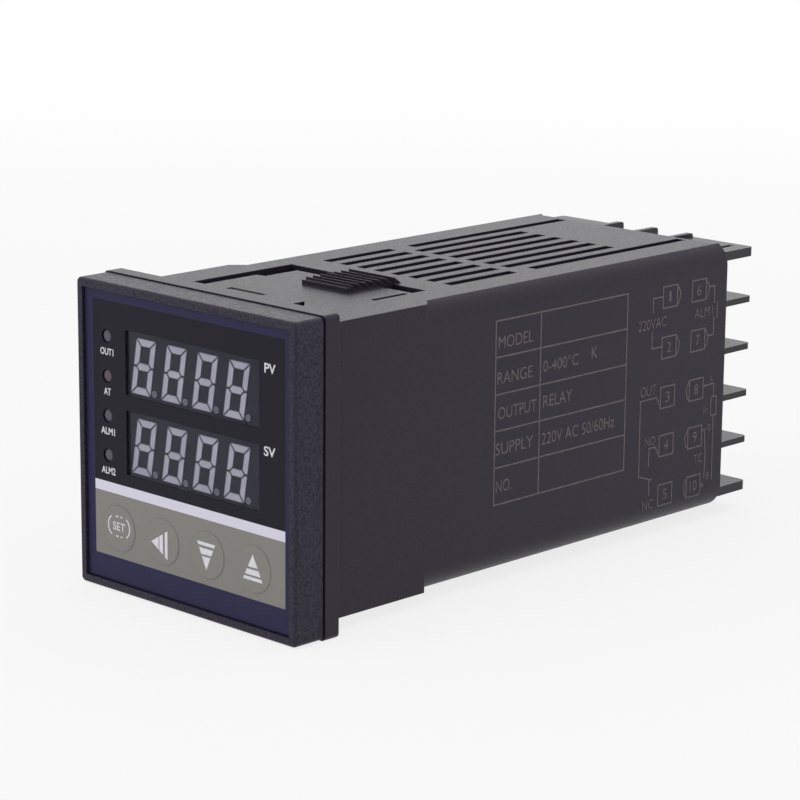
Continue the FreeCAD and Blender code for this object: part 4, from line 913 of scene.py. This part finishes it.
# A varistor is dipped in liquid epoxy, which sets glossy and slightly wavy.
dipped = finish("blue_dipped_epoxy", "#2c5591", "#3564a8", 0.8 * MM, 0.3, pit=0.04 * MM)
# A crystal's can is drawn from nickel silver and stays smooth and bright.
drawn_can = finish("drawn_nickel_silver", "#cfd0d2", "#e2e3e4", 0.5 * MM, 0.2, metal=1.0)
wear(nylon, "link_strips", "stem_set", "stem_shift", "stem_down", "stem_up")
wear(key_abs, "key_set", "key_shift", "key_down", "key_up")
wear(relay_case, "output_relay", "alarm_relay")
wear(dipped, "surge_varistor")
wear(drawn_can, "clock_crystal")
print("plain parts dressed")

# %% Two finishes in one piece
FACING = 0.8


def two_coats(name, mask, one, other):
    """A material of two coats: mask makes a socket that is 0 on the first and 1 on the other."""
    material, tree, place = start(name)
    first = coat(tree, place, *one[:4], **one[4])
    second = coat(tree, place, *other[:4], **other[4])
    both = add(tree, "MixShader", {0: mask(tree, place), 1: first, 2: second}).outputs[0]
    add(tree, "OutputMaterial", {"Surface": both})
    return material


def facing(axis):
    """A mask for faces that look along an axis: that part of the normal has a size over FACING."""
    def mask(tree, place):
        normals = add(tree, "TexCoord").outputs["Normal"]
        normal = add(tree, "SeparateXYZ", {0: normals}).outputs[axis]
        size = add(tree, "Math", {0: normal}, operation="ABSOLUTE").outputs[0]
        return add(tree, "Math", {0: size, 1: FACING}, operation="GREATER_THAN").outputs[0]
    return mask


def beyond(axis, centre, reach):
    """A mask for points that lie farther than a reach from a centre along an axis."""
    def mask(tree, place):
        along = add(tree, "SeparateXYZ", {0: place}).outputs[axis]
        away = add(tree, "Math", {0: along, 1: centre}, operation="SUBTRACT").outputs[0]
        size = add(tree, "Math", {0: away}, operation="ABSOLUTE").outputs[0]
        return add(tree, "Math", {0: size, 1: reach}, operation="GREATER_THAN").outputs[0]
    return mask


print("two masks: by facing and by distance")

# %% Cans, switches and packages
PIN_LENGTH, TAB_DEPTH, BAND_BACK, BAND_HALF = 0.58 * MM, 1.28 * MM, 1.2 * MM, 0.45 * MM
# Shrink sleeve is a thin, glossy dark film, and the can's bare end is satin aluminium.
SHRINK = ("#23232f", "#2c2c3a", 0.8 * MM, 0.25, {})
BARE_CAN = ("#c9cacc", "#dcdddf", 0.5 * MM, 0.3, {"metal": 1.0})
# A package is matt black epoxy full of quartz dust, and its pins are bright tin.
PACKAGE = ("#232324", "#2d2d2e", 0.3 * MM, 0.55, {"pit": 0.01 * MM})
TINNED = ("#c4c6c8", "#dadcde", 0.4 * MM, 0.25, {"metal": 1.0})
# The band that marks a diode's cathode is pale grey paint.
PAINT = ("#c9c9cb", "#d6d6d8", 0.3 * MM, 0.4, {})

wear(two_coats("sleeved_aluminium_can", facing("X"), SHRINK, BARE_CAN),
     "small_capacitors", "smoothing_capacitor")
wear(two_coats("switch_with_steel_cover", facing("Y"), PACKAGE, TINNED), "tact_switches")
for chip in ("controller_chip", "memory_chip", "input_amplifier"):
    low, high = box(chip)
    pins = beyond("Z", (low[2] + high[2]) / 2, (high[2] - low[2]) / 2 - PIN_LENGTH)
    wear(two_coats(chip + "_epoxy_and_pins", pins, PACKAGE, TINNED), chip)
low, high = box("voltage_regulator")
tab = beyond("Y", low[1], high[1] - low[1] - TAB_DEPTH)
wear(two_coats("regulator_on_tinned_tab", tab, PACKAGE, TINNED), "voltage_regulator")
diodes_low, diodes_high = box("rectifier_diodes")
band = beyond("Y", diodes_high[1] - BAND_BACK, BAND_HALF)
wear(two_coats("diode_with_band", band, PAINT, PACKAGE), "rectifier_diodes")
print("packages, cans and switches dressed")

# %% [markdown]
# ## The transformer
# The core is a stack of stamped and varnished steel sheets, each half a millimetre thick, and the eye
# sees their edges as fine stripes. The coil is wound tight under glossy yellow polyester tape, whose
# overlaps run round it. Sheets and turns could be modelled one by one, but only their edges show, so
# a wave along one axis drives the tone and a shallow bump. Its period is about 0.314 divided by its
# scale.

# %% Core and coil
SHEET, TAPE, WAVE_PERIOD = 0.5 * MM, 3.2 * MM, 0.314


def striped(name, step, turn, deep, pale, rough, metal, depth):
    """A coat of stripes along the X axis after a turn, a step apart."""
    material, tree, place = start(name)
    lying = add(tree, "Mapping", {"Vector": place, "Rotation": turn}).outputs[0]
    period = {"Vector": lying, "Scale": WAVE_PERIOD / step, "Distortion": 0.3, "Detail": 1.0}
    wave = add(tree, "TexWave", period).outputs[0]
    tones = {0: wave, A: linear(deep), B: linear(pale)}
    tone = add(tree, "Mix", tones, data_type="RGBA").outputs[MIXED]
    edge = add(tree, "Bevel", {"Radius": EDGE}, samples=EDGE_RAYS).outputs["Normal"]
    bump = add(tree, "Bump", {"Height": wave, "Distance": depth, "Normal": edge}).outputs[0]
    shader = {"Base Color": tone, "Roughness": rough, "Metallic": metal, "Normal": bump}
    add(tree, "OutputMaterial", {"Surface": add(tree, "BsdfPrincipled", shader).outputs[0]})
    return material


sheets = striped("varnished_steel_sheets", SHEET, (0, 0, 0),
                 "#5c5c60", "#8e8e92", 0.4, 0.8, 0.05 * MM)
tape = striped("polyester_tape", TAPE, (0, math.pi / 2, 0),
               "#d2b63f", "#e3cb5c", 0.3, 0.0, 0.06 * MM)
wear(sheets, "transformer_core")
wear(tape, "transformer_coil")
print("core and coil dressed")

# %% [markdown]
# ## Solder joints
# Behind each pin the board shows a small bright cone of solder: the molten drop climbs the pin and
# sets in a hollow curve. A plain cone would look like a stud, so each joint is a turned profile whose
# radius shrinks quickly at first and slowly later, r = foot / (1 + 3 t). They stand on the outer faces
# of the two long boards, behind the pins of every part.

# %% Solder joints
JOINT_FOOT, JOINT_HEIGHT, HOLLOW, JOINT_RINGS, JOINT_SIDES = 0.85 * MM, 0.9 * MM, 3, 6, 12
CLEAR_FROM, CLEAR_TO = 1.5 * MM, 78.5 * MM
DIODE_RADIUS, DIODES, LEAD_OUT = 1.35 * MM, 4, 1.4 * MM
# Each part with pins: how many in a row, and how far in mm the rows lie inside its edges.
SIGNAL_PARTS = (("controller_chip", 14, 0.3), ("memory_chip", 4, 0.3), ("input_amplifier", 4, 0.3),
                ("clock_crystal", 1, 3), ("smoothing_capacitor", 1, 2.5),
                ("voltage_regulator", 1, 2.46))
SUPPLY_PARTS = (("transformer_coil", 3, 1.2), ("output_relay", 4, 2.6), ("alarm_relay", 4, 2.6),
                ("surge_varistor", 1, 2.5), ("small_capacitors", 1, 2.0))
# Solder is bright and smooth, with a soft grey bloom where it cooled slowly.
solder = finish("tin_silver_solder", "#b4b7bb", "#d9dcdf", 0.5 * MM, 0.22, metal=1.0)


def pin_rows(node, count, inset):
    """Two rows of pins on the raster, at a part's upper and lower edge: an array of (y, z).

    Pin k of a row lies at the part's middle + (k - (count - 1) / 2) * RASTER."""
    low, high = box(node)
    along = (low[1] + high[1]) / 2 + (np.arange(count) - (count - 1) / 2) * RASTER
    levels = (low[2] + inset, high[2] - inset)
    return np.array([(y, z) for z in levels for y in along])


def joints_on(board, spots, way):
    """Solder cones on the outer face of a board, at (y, z) spots, pointing along +X or -X.

    Spots under the front board or on the bare tail get none."""
    low, high = box(board)
    face = high[0] if way > 0 else low[0]
    t = np.linspace(0, 1, JOINT_RINGS)
    heights, radii = t * JOINT_HEIGHT, JOINT_FOOT / (1 + HOLLOW * t)
    spots = spots[(spots[:, 0] > CLEAR_FROM) & (spots[:, 0] < CLEAR_TO)]
    return [turned(heights, radii, (face, *spot), (way, 0, 0), JOINT_SIDES) for spot in spots]


signal_pins = [pin_rows(node, count, inset * MM) for node, count, inset in SIGNAL_PARTS]
supply_pins = [pin_rows(node, count, inset * MM) for node, count, inset in SUPPLY_PARTS]
diode_levels = np.linspace(diodes_low[2] + DIODE_RADIUS, diodes_high[2] - DIODE_RADIUS, DIODES)
lead_ends = (diodes_low[1] - LEAD_OUT, diodes_high[1] + LEAD_OUT)
supply_pins.append(np.array([(y, z) for z in diode_levels for y in lead_ends]))
signal_joints = joints_on("signal_board", np.concatenate(signal_pins), -1)
supply_joints = joints_on("supply_board", np.concatenate(supply_pins), 1)
piece("signal_solder", signal_joints, solder, "chassis")
piece("supply_solder", supply_joints, solder, "chassis")

# %% [markdown]
# ## Diode leads
# The rectifier diodes lie along the board, and their tinned wires leave at both ends and bend down
# into it. A curve object with a round bevel could do it, but the rows of outlines serve here too: a
# circle is carried along a straight run, a quarter turn and a drop. The path lies in one plane, so
# the circle is spanned by the path's own normal and the upright axis.

# %% Leads
WIRE, WIRE_SIDES, BEND, BEND_STEPS = 0.35 * MM, 10, 0.6 * MM, 6
IN_DIODE, IN_BOARD = 0.2 * MM, 0.3 * MM
board_face = box("supply_board")[0][0]
bend = np.linspace(0, np.pi / 2, BEND_STEPS)


def lead(axis_x, end_y, level, way):
    """A bent wire from a diode's end to the board; way is +1 towards the rear and -1 to the front.

    At a bend of b the path is at x = axis + BEND * (1 - cos b) and has run on by BEND * sin b. A
    point of a circle is the path's point + WIRE * (cos a * its normal - sin a * the upright)."""
    reach = end_y + way * (LEAD_OUT - BEND + BEND * np.sin(bend))
    corner = np.stack([axis_x + BEND * (1 - np.cos(bend)), reach], axis=1)
    root, tip = end_y - way * IN_DIODE, end_y + way * LEAD_OUT
    path = np.vstack([[axis_x, root], corner, [board_face + IN_BOARD, tip]])
    course = np.gradient(path, axis=0)
    course /= np.linalg.norm(course, axis=1)[:, None]
    a = np.linspace(0, 2 * np.pi, WIRE_SIDES, endpoint=False)
    side = np.stack([course[:, 1], -course[:, 0]], axis=1)
    rows = np.empty((len(path), len(a), 3))
    rows[:, :, :2] = path[:, None] + WIRE * np.cos(a)[None, :, None] * side[:, None]
    rows[:, :, 2] = level - WIRE * np.sin(a)
    return joined(rows)


diode_x = (diodes_low[0] + diodes_high[0]) / 2
leads = [lead(diode_x, end, level, way) for level in diode_levels
         for end, way in ((diodes_low[1], -1), (diodes_high[1], 1))]
# Tinned wire is drawn smooth, so it is as bright as the pins and a little softer than the solder.
wire = finish("tinned_copper_wire", "#bfc2c5", "#d8dadc", 0.4 * MM, 0.25, metal=1.0)
piece("diode_leads", leads, wire, "chassis")

# %% [markdown]
# ## The last step
# The dressed model must not outgrow the CAD model. The last line updates the view layer once more.

# %% Finish
bpy.context.view_layer.update()
